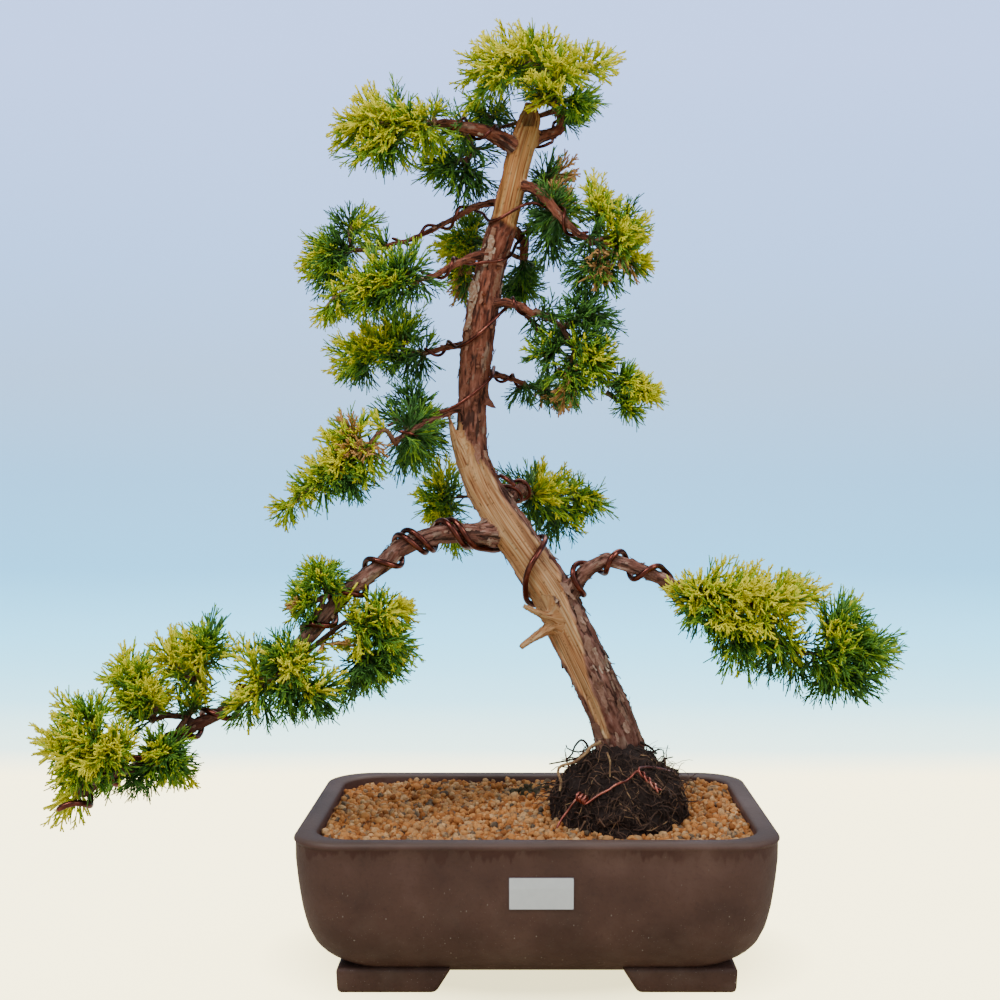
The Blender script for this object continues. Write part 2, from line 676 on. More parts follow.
def barkMaterial():
    material, tree, shader = newMaterial("juniperBark", Specular_IOR_Level=0.28)
    grain = ownValue(tree, "grain", "Vector")
    bare = ownValue(tree, "bare")
    rise = ownValue(tree, "rise")
    place = objectPlace(tree)
    height = apart(tree, place)["Z"]
    streak = mottle(tree, stretched(tree, grain, 0.26), 430, 1.7)
    patch = mottle(tree, stretched(tree, grain, 0.4), 150, 2.6)
    blotch = mottle(tree, stretched(tree, grain, 0.5), 70, 2.4)
    upper = spread(tree, height, 0.27, 0.42)
    lowBark = ramp(tree, streak, (0.12, 76, 44, 37), (0.42, 128, 84, 71),
                   (0.70, 166, 120, 106), (0.95, 200, 166, 152))
    highBark = ramp(tree, streak, (0.12, 74, 36, 28), (0.40, 132, 72, 52),
                    (0.70, 164, 100, 78), (1.0, 196, 144, 122))
    skin = mix(tree, upper, lowBark, highBark)
    skin = mix(tree, spread(tree, blotch, 0.55, 0.95, 0.0, 0.6), skin, colour(112, 48, 32))
    flake = ramp(tree, streak, (0.2, 138, 110, 94), (0.8, 188, 162, 142))
    skin = mix(tree, spread(tree, patch, 0.70, 0.84, 0.0, 0.6), skin, flake)
    crack = spread(tree, mottle(tree, stretched(tree, grain, 0.14), 300, 3.4), 0.66, 0.86)
    skin = wash(tree, skin, crack, 0.85, colour(46, 23, 19))
    pits = specks(tree, stretched(tree, grain, 0.6), 330, 0.34, 0.30)
    skin = wash(tree, skin, pits, 0.55, colour(62, 30, 23))
    foot = spread(tree, height, 0.190, 0.140, 0.0, 0.55)
    skin = mix(tree, foot, skin, colour(86, 44, 32))
    topWood = spread(tree, height, 0.47, 0.50)
    woodStreak = mottle(tree, stretched(tree, grain, 0.030), 760, 1.9)
    woodPatch = mottle(tree, stretched(tree, grain, 0.12), 190, 2.4)
    paleWood = ramp(tree, woodStreak, (0.10, 140, 80, 48), (0.36, 218, 150, 98),
                    (0.64, 247, 192, 136), (0.95, 255, 224, 178))
    orangeWood = ramp(tree, woodStreak, (0.10, 150, 76, 38), (0.38, 228, 146, 82),
                      (0.68, 250, 186, 114), (0.95, 255, 222, 162))
    wood = mix(tree, topWood, paleWood, orangeWood)
    wood = mix(tree, spread(tree, woodPatch, 0.62, 0.90, 0.0, 0.5), wood, colour(128, 66, 28))
    eyes = specks(tree, stretched(tree, grain, 0.45), 105, 0.19, 0.20)
    wood = wash(tree, wood, eyes, 0.75, colour(92, 44, 24))
    tint = mix(tree, bare, skin, wood)
    dark = spread(tree, rise, -0.0012, -0.0001, 0.28, 1.0)
    tint = mix(tree, 1.0, tint, ramp(tree, dark, (0.0, grey(0.0)), (1.0, grey(1.0))), "MULTIPLY")
    rough = mix(tree, bare, grey(0.86), grey(0.62))
    relief = maths(tree, "ADD", streak, mottle(tree, grain, 1400, 1.5))
    connect(tree, shader, tint, rough, relief, 0.55, 0.0004)
    return material


trunk = makeTrunk()
dress(trunk, barkMaterial(), "bark", "trunk")
trunkTree = searchTree(trunk)
print("trunk ready", len(trunk.data.polygons))


# loose bark: thin plates that lie along the limbs and lift at one end, with small scabs
flakeLook = {
    "count": 760,
    "long": (0.0030, 0.0095),
    "wide": (0.0014, 0.0040),
    "lift": (0.0002, 0.0014),
    "thick": 0.00024,
    "gap": 0.00022,
    "lumps": (1300, 0.0007),  # how fine and how high on scabs and resin
    "seed": 19,
    "bump": (0.0009, 0.0007, 0.00065),
    # across and down in the view, length, width, lift, tone
    "large": (
        (469, 300, 0.026, 0.0075, 0.0030, 0.90), (473, 284, 0.022, 0.0070, 0.0018, 0.95),
        (466, 318, 0.016, 0.0050, 0.0030, 0.85), (487, 250, 0.022, 0.0060, 0.0016, 0.90),
        (492, 238, 0.014, 0.0050, 0.0020, 0.70), (464, 340, 0.012, 0.0045, 0.0026, 0.60),
        (494, 398, 0.012, 0.0060, 0.0062, 0.30), (468, 372, 0.014, 0.0040, 0.0016, 0.40),
        (500, 285, 0.016, 0.0045, 0.0018, 0.70), (600, 735, 0.018, 0.0070, 0.0022, 0.35),
        (588, 650, 0.020, 0.0075, 0.0020, 0.55), (604, 690, 0.022, 0.0060, 0.0018, 0.45),
        (566, 590, 0.014, 0.0060, 0.0024, 0.70), (580, 618, 0.018, 0.0065, 0.0016, 0.60),
        (476, 455, 0.014, 0.0050, 0.0018, 0.55)),
    # across and down in the view, size
    "scabs": (
        (483, 326, 1.5), (480, 332, 1.2), (484, 355, 1.4), (480, 365, 1.6),
        (483, 377, 1.4), (479, 402, 1.5), (487, 344, 1.0), (476, 346, 1.2),
        (489, 386, 1.0), (596, 668, 1.6), (610, 700, 1.4), (592, 630, 1.3)),
    "resin": ((486, 294, 1.9), (488, 297, 1.2)),
}


def alongLimb(point, trunkOnly):
    near = [knots[row[1]] for row in finder.find_n(point - home, 40 if trunkOnly else 6)]
    near = [knot for knot in near if knot[0] == "trunk"] or near if trunkOnly else near
    return min(near, key=lambda knot: (point - home - knot[1]).length / knot[2])[3]


def layFlake(shape, point, normal, size, lift, hue, draw, trunkOnly=False):
    # every row of the plate is laid on the bark and raised more towards its loose end
    twin = linked("flake", shape.data.copy())
    along = alongLimb(point, trunkOnly)
    side = normal.cross(along).normalized()
    loose = draw.choice((-1, 1))
    rows = {}
    for vertex in twin.data.vertices:
        row = round(vertex.co.y * 100)
        if row not in rows:
            rows[row] = (draw.uniform(0.6, 1.1), draw.uniform(-0.12, 0.12))
        grow, slide = rows[row]
        grow *= 1 - 0.55 * abs(2 * vertex.co.y) ** 2.5
        flat = point + side * size[1] * (vertex.co.x * grow + slide) + along * size[0] * vertex.co.y
        near, outward = trunkTree.find_nearest(flat)[:2]
        up = flakeLook["gap"] + lift * fade(loose * vertex.co.y, -0.15, 0.5) + 0.25 * lift * abs(vertex.co.x)
        vertex.co = near + outward * up
    writeValues(twin.data, "hue", [hue] * len(twin.data.vertices))
    return twin


def makeFlakes():
    draw = random.Random(flakeLook["seed"])
    bpy.ops.mesh.primitive_grid_add(x_subdivisions=2, y_subdivisions=6, size=1)
    shape = bpy.context.object
    bare = trunk.data.attributes["bare"].data
    made = []
    faces = trunk.data.polygons
    while len(made) < flakeLook["count"]:
        face = faces[draw.randrange(len(faces))]
        if any(bare[i].value > 0.05 for i in face.vertices):
            continue
        radius = min(knots[row[1]][2] for row in finder.find_n(face.center - home, 3))
        grow = min(1.0, 0.35 + radius / 0.012)
        size = (grow * draw.uniform(*flakeLook["long"]), grow * draw.uniform(*flakeLook["wide"]))
        lift = grow * draw.uniform(*flakeLook["lift"]) * draw.choice((0.5, 1.0, 1.6))
        made.append(layFlake(shape, face.center, face.normal, size, lift, draw.random(), draw))
    for across, down, longest, widest, lift, hue in flakeLook["large"]:
        point, normal = trunkTree.find_nearest(seen(across, down, -0.010))[:2]
        made.append(layFlake(shape, point, normal, (longest, widest), lift, hue, draw, True))
    flakes = joinAll(made, "flakes")
    modify(flakes, "SOLIDIFY", thickness=flakeLook["thick"], offset=0.0)
    applyModifiers(flakes)
    bpy.data.objects.remove(shape)

    bumps = []
    fine, high = flakeLook["lumps"]
    for kind, hue in (("scabs", 0.50), ("resin", 2.0)):
        for across, down, size in flakeLook[kind]:
            point, normal = trunkTree.find_nearest(seen(across, down, -0.030))[:2]
            bpy.ops.mesh.primitive_ico_sphere_add(subdivisions=2, radius=1.0)
            bump = bpy.context.object
            bump.matrix_world = standing(point, normal) @ Matrix.Diagonal((
                *[size * axis for axis in flakeLook["bump"]], 1.0))
            settle(bump)
            for vertex in bump.data.vertices:
                vertex.co += normal * high * noise.noise(vertex.co * fine)
            writeValues(bump.data, "hue", [hue] * len(bump.data.vertices))
            bumps.append(bump)
    flakes = joinAll([flakes] + bumps, "barkFlakes")
    bpy.ops.object.shade_smooth_by_angle(angle=math.radians(50))
    return flakes


def flakeMaterial():
    material, tree, shader = newMaterial("looseBark", Specular_IOR_Level=0.25)
    place = objectPlace(tree)
    hue = ownValue(tree, "hue")
    height = apart(tree, place)["Z"]
    cloud = mottle(tree, place, 520, 2.0)
    level = maths(tree, "MULTIPLY_ADD", cloud, 0.35, times(tree, hue, 0.75))
    low = ramp(tree, level, (0.05, 92, 58, 46), (0.40, 138, 98, 82), (0.75, 168, 130, 112),
               (1.0, 200, 176, 156))
    high = ramp(tree, level, (0.05, 88, 40, 28), (0.45, 140, 78, 56), (0.80, 168, 122, 98),
                (1.0, 202, 180, 158))
    tint = mix(tree, spread(tree, height, 0.27, 0.42), low, high)
    resin = maths(tree, "GREATER_THAN", hue, 1.5)
    tint = mix(tree, resin, tint, colour(120, 56, 24))
    rough = mix(tree, resin, grey(0.85), grey(0.35))
    connect(tree, shader, tint, rough, mottle(tree, place, 1300, 1.6), 0.5, 0.0004)
    return material


flakes = makeFlakes()
dress(flakes, flakeMaterial(), "bark")
print("loose bark ready", len(flakes.data.polygons))


# wires: each CAD bar is rounded and smoothed along its run
wireLook = {
    "thick": ("wire_low", "wire_low_second"),
    "thin": ("wire_back", "wire_jin", "wire_left_low", "wire_left_mid", "wire_left_high", "wire_crown"),
    "tie": ("tie_wire_front", "tie_wire_back"),
    "swell": {"thick": 0.00052, "thin": 0.00030, "tie": 0.00030},
    # dull copper on the limbs, brighter on the root ball
    "dull": ((76, 35, 29), (112, 55, 44), (164, 94, 77), (56, 31, 27)),
    "bright": ((132, 62, 52), (190, 106, 90), (226, 158, 138), (84, 40, 34)),
}


def makeWire(node, swell):
    wire = freeCopy(node, "copper_" + node)
    editAll(wire)
    bpy.ops.mesh.tris_convert_to_quads(face_threshold=math.radians(60), shape_threshold=math.radians(180))
    backToObject()
    modify(wire, "SUBSURF", levels=2, render_levels=2)
    modify(wire, "DISPLACE", strength=swell, mid_level=0.0)
    applyModifiers(wire)
    bpy.ops.object.shade_smooth()
    return wire


def copperMaterial(name, dark, middle, light, scuffed):
    material, tree, shader = newMaterial(name, Metallic=1.0, Coat_Weight=0.25, Coat_Roughness=0.25)
    place = objectPlace(tree)
    cloud = mottle(tree, place, 160, 1.8)
    scuff = mottle(tree, place, 900, 3.0)
    tint = ramp(tree, cloud, (0.1, *dark), (0.55, *middle), (0.95, *light))
    tint = mix(tree, spread(tree, scuff, 0.80, 1.0, 0.0, 0.5), tint, colour(*scuffed))
    rough = spread(tree, cloud, 0.0, 1.0, 0.40, 0.26)
    connect(tree, shader, tint, rough, scuff, 0.10, 0.0002)
    return material


copper = copperMaterial("copperWire", *wireLook["dull"])
brightCopper = copperMaterial("brightCopper", *wireLook["bright"])
for kind in ("thick", "thin", "tie"):
    for node in wireLook[kind]:
        wire = makeWire(node, wireLook["swell"][kind])
        if kind == "tie":
            dress(wire, brightCopper, "tie_wire", node)
        else:
            dress(wire, copper, "training_wire", node)
print("wires ready")


# the pot: drawn down from its widest outline, then up over the rim and down inside
potLook = {
    "half": (0.1550, 0.1120),
    "corner": 0.033,
    "widestAt": 0.0988,
    # inset from the widest outline, height
    "outside": ((0.0010, 0.0972), (0.0012, 0.0860), (0.0024, 0.0740), (0.0036, 0.0650), (0.0050, 0.0560),
                (0.0068, 0.0480), (0.0086, 0.0415), (0.0108, 0.0365), (0.0126, 0.0325), (0.0150, 0.0290),
                (0.0180, 0.0255), (0.0216, 0.0222), (0.0260, 0.0190), (0.0310, 0.0155), (0.0360, 0.0125)),
    "inside": ((0.0002, 0.1002), (0.0010, 0.1014), (0.0022, 0.1020), (0.0112, 0.1020), (0.0126, 0.1014),
               (0.0134, 0.1003), (0.0140, 0.0900), (0.0150, 0.0560), (0.0290, 0.0250), (0.0420, 0.0205)),
    "footAt": (0.0910, 0.0630),
    "footSize": (0.0740, 0.0460, 0.0166),
    "footSlope": (0.72, 0.98, 0.92),  # inner end, outer end, front and back
    "footRound": 0.0030,
    "edgeRound": 0.0006,
    "drains": 0.070,
    "drainRadius": 0.0105,
}


def pullRings(rings):
    # pulls the chosen ring on from the widest outline, through each inset and height in turn
    halfX, halfY = potLook["half"]
    before, level = 0.0, potLook["widestAt"]
    for inset, height in rings:
        bpy.ops.mesh.extrude_region_move(TRANSFORM_OT_translate={"value": (0, 0, height - level)})
        bpy.ops.transform.resize(
            value=((halfX - inset) / (halfX - before), (halfY - inset) / (halfY - before), 1.0),
            center_override=(home.x, home.y, height))
        before, level = inset, height


def makeFoot(sideX, sideY):
    footX, footY = (side * away for side, away in zip((sideX, sideY), potLook["footAt"]))
    middle = home + Vector((footX, footY, 0))
    height = potLook["footSize"][2]
    bpy.ops.mesh.primitive_cube_add(size=1, location=(home.x + footX, home.y + footY, height / 2))
    foot = bpy.context.object
    foot.scale = potLook["footSize"]
    settle(foot)
    # the ends towards the middle slope the most
    inner, outer, across = potLook["footSlope"]
    for vertex in foot.data.vertices:
        if vertex.co.z < height / 2:
            inward = (vertex.co.x - middle.x) * sideX < 0
            vertex.co.x = middle.x + (vertex.co.x - middle.x) * (inner if inward else outer)
            vertex.co.y = middle.y + (vertex.co.y - middle.y) * across
    modify(foot, "BEVEL", width=potLook["footRound"], segments=3, limit_method="ANGLE")
    applyModifiers(foot)
    return foot


def makePot():
    widest = potLook["widestAt"]
    bpy.ops.mesh.primitive_plane_add(size=2, location=(home.x, home.y, widest))
    pot = bpy.context.object
    editAll(pot)
    bpy.ops.transform.resize(value=(*potLook["half"], 1.0), center_override=(home.x, home.y, widest))
    bpy.ops.mesh.bevel(offset=potLook["corner"], offset_type="OFFSET", segments=12, affect="VERTICES")
    bpy.ops.mesh.select_all(action="SELECT")
    pullRings(potLook["outside"])
    backToObject()
    pick(pot)
    top = max(vertex.co.z for vertex in pot.data.vertices)
    for vertex in pot.data.vertices:
        vertex.select = abs(vertex.co.z - top) < 0.00001
    for edge in pot.data.edges:
        edge.select = all(pot.data.vertices[i].select for i in edge.vertices)
    for face in pot.data.polygons:
        face.select = False
    bpy.ops.object.mode_set(mode="EDIT")
    bpy.ops.mesh.select_mode(type="EDGE")
    pullRings(potLook["inside"])
    bpy.ops.mesh.edge_face_add()
    bpy.ops.mesh.select_all(action="SELECT")
    bpy.ops.mesh.remove_doubles(threshold=0.00001)
    bpy.ops.mesh.normals_make_consistent(inside=False)
    backToObject()
    settle(pot)

    helpers = [makeFoot(sideX, sideY) for sideX in (-1, 1) for sideY in (-1, 1)]
    for foot in helpers:
        modify(pot, "BOOLEAN", operation="UNION", object=foot)
    for side in (-1, 1):
        bpy.ops.mesh.primitive_cylinder_add(
            vertices=40, radius=potLook["drainRadius"], depth=0.03,
            location=(home.x + side * potLook["drains"], home.y, potLook["inside"][-1][1]))
        helpers.append(bpy.context.object)
        modify(pot, "BOOLEAN", operation="DIFFERENCE", object=helpers[-1])
    applyModifiers(pot)
    for helper in helpers:
        bpy.data.objects.remove(helper)
    modify(pot, "BEVEL", width=potLook["edgeRound"], segments=2, limit_method="ANGLE",
           angle_limit=math.radians(35))
    applyModifiers(pot)
    bpy.ops.object.shade_smooth_by_angle(angle=math.radians(38))
    pot.name = pot.data.name = "clayPot"
    return pot


def clayMaterial():
    material, tree, shader = newMaterial("brownClay", Specular_IOR_Level=0.35)
    place = objectPlace(tree)
    height = apart(tree, place)["Z"]
    broad = mottle(tree, place, 26, 1.6)
    fine = mottle(tree, place, 420, 1.6)
    tint = ramp(tree, broad, (0.15, 76, 50, 43), (0.55, 91, 62, 54), (0.90, 107, 77, 68))
    tint = mix(tree, spread(tree, fine, 0.55, 0.95, 0.0, 0.35), tint, colour(64, 43, 38))
    # short dark runs below the rim, dust and pale specks towards the foot
    ragged = mottle(tree, stretched(tree, place, 0.22), 150, 2.6)
    edge = spread(tree, maths(tree, "MULTIPLY_ADD", ragged, 0.012, height), 0.0985, 0.1015)
    below = times(tree, edge, spread(tree, height, 0.0985, 0.0972))
    run = times(tree, below, spread(tree, mottle(tree, place, 16, 2.4), 0.30, 0.70, 0.0, 0.62))
    tint = mix(tree, run, tint, colour(66, 28, 20))
    low = spread(tree, height, 0.080, 0.015, 0.12, 1.0)
    pale = times(tree, specks(tree, place, 780, 0.17, 0.15), low)
    tint = wash(tree, tint, pale, 0.60, colour(176, 156, 142))
    larger = times(tree, specks(tree, stretched(tree, place, 0.6), 300, 0.11, 0.12), low)
    tint = wash(tree, tint, larger, 0.65, colour(206, 192, 178))
    dust = times(tree, spread(tree, mottle(tree, place, 60, 2.2), 0.45, 0.95), low)
    tint = wash(tree, tint, dust, 0.16, colour(140, 118, 106))
    # the worn rim is greyer and smoother
    rim = spread(tree, height, 0.0995, 0.1012)
    tint = wash(tree, tint, rim, 0.65, colour(104, 86, 78))
    rough = maths(tree, "SUBTRACT", spread(tree, broad, 0.0, 1.0, 0.62, 0.50), times(tree, rim, 0.04))
    relief = maths(tree, "MULTIPLY_ADD", mottle(tree, place, 1500, 1.2), 0.5, fine)
    connect(tree, shader, tint, rough, relief, 0.30, 0.0005)
    return material


pot = makePot()
dress(pot, clayMaterial(), "pot", "pot")
print("pot ready", len(pot.data.polygons))


def labelMaterial():
    # blank paper with a thin line round its edge
    low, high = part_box("label")
    middle = (low + high) / 2
    half = (high - low) / 2
    material, tree, shader = newMaterial("blankLabel", Roughness=0.42)
    centred = add(tree, "ShaderNodeMapping", {
        "Vector": objectPlace(tree), "Location": (-middle.x, 0, -middle.z)}).outputs["Vector"]
    place = apart(tree, centred)
    inX = maths(tree, "SUBTRACT", half.x, maths(tree, "ABSOLUTE", place["X"]))
    inZ = maths(tree, "SUBTRACT", half.z, maths(tree, "ABSOLUTE", place["Z"]))
    inward = maths(tree, "SMOOTH_MIN", inX, inZ, 0.0012)
    line = maths(tree, "LESS_THAN", inward, 0.00030)
    cloud = mottle(tree, objectPlace(tree), 240, 1.0)
    paper = ramp(tree, cloud, (0.0, 226, 226, 230), (1.0, 240, 240, 243))
    tint = wash(tree, paper, line, 0.85, colour(84, 60, 84))
    connect(tree, shader, tint, None, cloud, 0.05, 0.0001)
    return material


def screenMaterial():
    material, tree, shader = newMaterial("blackMesh", Specular_IOR_Level=0.4)
    cloud = mottle(tree, objectPlace(tree), 700, 1.6)
    tint = ramp(tree, cloud, (0.0, 22, 22, 22), (1.0, 44, 44, 44))
    connect(tree, shader, tint, spread(tree, cloud, 0.0, 1.0, 0.45, 0.62), cloud, 0.2, 0.0003)
    return material


# soil: one layer of loose grains lies over the CAD soil, with more scattered on it
soilLook = {
    "pitch": 0.0046,
    "extra": 1500,
    "radius": (0.0016, 0.0032),
    "inset": 0.0160,
    "corner": 0.024,
    "rowPitch": 0.87,
    "lowest": 0.080,
    # the mossy patch: its middle and half its size
    "moss": ((-0.004, 0.060), (0.030, 0.022)),
    "shapes": 10,
    "seed": 31,
}


def grainShapes(draw):
    shapes = []
    for index in range(soilLook["shapes"]):
        bpy.ops.mesh.primitive_ico_sphere_add(subdivisions=1 if index % 3 else 2, radius=1.0)
        grain = bpy.context.object
        editAll(grain)
        bpy.ops.transform.resize(value=[draw.uniform(0.72, 1.22) for _ in range(3)])
        bpy.ops.transform.vertex_random(offset=0.20 if index % 2 == 0 else 0.13, uniform=0.4, seed=index)
        backToObject()
        bpy.ops.object.shade_smooth()
        grain.data.attributes.new("hue", "FLOAT", "POINT")
        shapes.append(grain)
    return shapes


def scatter(spots, name, valueNames):
    # each spot is a shape, its matrix and its own values; every copy has its own mesh
    copies = []
    for shape, matrix, values in spots:
        twin = linked(name, shape.data.copy())
        twin.matrix_world = matrix
        for valueName, value in zip(valueNames, values):
            writeValues(twin.data, valueName, [value] * len(twin.data.vertices))
        copies.append(twin)
    return joinAll(copies, name)


def turned(draw):
    return Euler([draw.uniform(0, fullTurn) for _ in range(3)]).to_matrix().to_4x4()


def makeGrains():
    draw = random.Random(soilLook["seed"])
    shapes = grainShapes(draw)
    soilTree = searchTree(nodes["soil"])
    ballTree = searchTree(nodes["root_ball"])
    halfX = potLook["half"][0] - soilLook["inset"]
    halfY = potLook["half"][1] - soilLook["inset"]
    corner, pitch = soilLook["corner"], soilLook["pitch"]
    rowPitch = pitch * soilLook["rowPitch"]
    (mossX, mossY), (mossWide, mossDeep) = soilLook["moss"]
    places = []
    for row in range(int(2 * halfY / rowPitch) + 1):
        for column in range(int(2 * halfX / pitch) + 1):
            x = -halfX + (column + 0.5 * (row % 2)) * pitch + draw.uniform(-0.3, 0.3) * pitch
            y = -halfY + row * rowPitch + draw.uniform(-0.3, 0.3) * pitch
            places.append((x, y, 0.0))
    for _ in range(soilLook["extra"]):
        places.append((draw.uniform(-halfX, halfX), draw.uniform(-halfY, halfY), draw.uniform(0.4, 1.1)))
    spots = []
    for x, y, lift in places:
        cornerX = max(0.0, abs(x) - (halfX - corner))
        cornerY = max(0.0, abs(y) - (halfY - corner))
        if math.hypot(cornerX, cornerY) > corner or abs(x) > halfX or abs(y) > halfY:
            continue
        hit = soilTree.ray_cast(Vector((home.x + x, home.y + y, 0.2)), Vector((0, 0, -1)))[0]
        if hit is None or hit.z < soilLook["lowest"]:
            continue
        radius = draw.uniform(*soilLook["radius"])
        if lift > 0:
            radius *= 0.85
        point = hit + Vector((0, 0, radius * (0.15 + 1.1 * lift)))
        if ballTree.find_nearest(point)[3] < radius * 0.7:
            continue
        size = [radius * draw.uniform(0.85, 1.2) for _ in range(3)]
        matrix = Matrix.Translation(point) @ turned(draw) @ Matrix.Diagonal((*size, 1.0))
        hue = draw.random()
        mossy = Vector(((x - mossX) / mossWide, (y - mossY) / mossDeep)).length
        if mossy < 1.0 and draw.random() < 0.75 * (1.2 - mossy):
            hue = 1.5
        spots.append((draw.choice(shapes), matrix, (hue,)))
    grains = scatter(spots, "soilGrains", ("hue",))
    for shape in shapes:
        bpy.data.objects.remove(shape)
    return grains, len(spots)


def grainMaterial(name, fixedHue=None):
    material, tree, shader = newMaterial(name, Roughness=0.92, Specular_IOR_Level=0.15)
    place = objectPlace(tree)
    hue = ownValue(tree, "hue") if fixedHue is None else mottle(tree, place, fixedHue, 3.0)
    wander = sway(tree, hue, mottle(tree, place, 260, 1.4), 0.22)
    tint = ramp(tree, wander, (0.00, 144, 88, 50), (0.25, 208, 136, 76),
                (0.50, 226, 162, 100), (0.66, 184, 136, 92), (0.80, 238, 188, 132),
                (0.92, 140, 118, 94), (1.00, 98, 86, 72))
    mossMask = maths(tree, "GREATER_THAN", hue, 1.2)
    tint = wash(tree, tint, mossMask, 0.8, colour(74, 70, 48))
    pores = mottle(tree, place, 1500, 2.0)
    tint = mix(tree, spread(tree, pores, 0.60, 0.95, 0.0, 0.35), tint, colour(104, 52, 20))
    connect(tree, shader, tint, None, pores, 0.7, 0.0006)
    return material


grains, grainCount = makeGrains()
dress(grains, grainMaterial("clayGrains"), "soil")
print("soil ready", grainCount)


# root ball: a crumbly dark mass with fine roots running over it and out of it
rootLook = {
    "voxel": 0.0017,
    "fibres": 1100,
    "stray": 190,
    "centre": (0.0570, -0.0110, 0.0870),
    "half": (0.0480, 0.0660, 0.0570),
    "crumbs": ((420, 0.0018), (150, 0.0034)),  # how fine, how high
    "mound": ((0.058, 0.0), 0.026, 0.0085),  # its place, reach and height
    "lowest": 0.094,
    "steps": (0.0034, 0.0026),  # of the roots on the ball and of the loose ends
    "seed": 8,
    # single roots that show: depth, radius, tone, places across and down in the view
    "single": (
        (-0.034, 0.0009, 0.10, ((590, 752), (586, 743), (581, 740), (575, 746), (572, 754), (567, 759))),
        (-0.040, 0.0013, 0.97, ((601, 742), (592, 746), (585, 754), (574, 762), (561, 766), (558, 772),
                                (561, 781), (560, 791))),
        (-0.020, 0.0008, 0.12, ((582, 756), (574, 759), (560, 762), (549, 764))),
        (-0.012, 0.0010, 0.15, ((640, 742), (646, 745), (651, 748), (657, 754))),
        (-0.006, 0.0007, 0.20, ((658, 768), (663, 760), (668, 758), (673, 757))),
        (-0.016, 0.0006, 0.20, ((664, 766), (664, 756), (663, 750))),
        (-0.050, 0.0007, 0.95, ((607, 752), (610, 761), (610, 770), (610, 777))),
        (-0.030, 0.0007, 0.60, ((590, 748), (578, 752), (567, 748), (566, 745))),
        (-0.080, 0.0006, 0.92, ((585, 821), (582, 827), (578, 833))),
        (-0.082, 0.0006, 0.90, ((599, 819), (602, 823), (605, 827)))),
}


def makeRootMass():
    mass = freeCopy("root_ball", "rootMass")
    modify(mass, "REMESH", mode="VOXEL", voxel_size=rootLook["voxel"])
    applyModifiers(mass)
    centre = home + Vector(rootLook["centre"])
    (moundX, moundY), reach, high = rootLook["mound"]
    for vertex in mass.data.vertices:
        if vertex.co.z > 0.090:
            crumb = sum(noise.noise(vertex.co * fine) * tall for fine, tall in rootLook["crumbs"])
            vertex.co += (vertex.co - centre).normalized() * crumb
            # the soil rises to the foot of the trunk
            away = math.hypot(vertex.co.x - home.x - moundX, vertex.co.y - home.y - moundY)
            vertex.co.z += high * math.exp(-(away / reach) ** 2) * fade(vertex.co.z, 0.12, 0.14)
    pick(mass)
    bpy.ops.object.shade_smooth()
    return mass


def tubesFrom(routes, name, sides=0):
    # one mesh of thin tubes; a route is a list of (point, radius)
    curve = bpy.data.curves.new(name, "CURVE")
    curve.dimensions = "3D"
    curve.bevel_depth = 1.0
    curve.bevel_resolution = sides
    curve.use_fill_caps = True
    for route in routes:
        line = curve.splines.new("POLY")
        line.points.add(len(route) - 1)
        for knot, (point, radius) in zip(line.points, route):
            knot.co = (*point, 1.0)
            knot.radius = radius
    pick(linked(name, curve))
    bpy.ops.object.convert(target="MESH")
    tube = bpy.context.object
    tube.name = tube.data.name = name
    bpy.ops.object.shade_smooth()
    return tube


def paintTubes(tubes, routes, layers):
    # every point of the tubes takes the values of the nearest place on the routes
    places = [point for route in routes for point, _ in route]
    near = KDTree(len(places))
    for index, point in enumerate(places):
        near.insert(point, index)
    near.balance()
    owners = [near.find(vertex.co)[1] for vertex in tubes.data.vertices]
    for label, rows in layers.items():
        values = [value for row in rows for value in row]
        writeValues(tubes.data, label, [values[owner] for owner in owners])


def evenLine(points, spacing=0.002):
    return [knot.xyz for knot in smoothRoute([(*point, 0.001) for point in points], spacing)]


def ballPlace(draw, low, high):
    # a way out of the ball's middle, and the place where it comes out
    rise = draw.uniform(low, high)
    around = draw.uniform(0, fullTurn)
    flat = math.sqrt(1 - rise * rise)
    direction = Vector((flat * math.cos(around), flat * math.sin(around), rise))
    reach = Vector([out * half for out, half in zip(direction, Vector(rootLook["half"]))])
    return direction, home + Vector(rootLook["centre"]) + reach


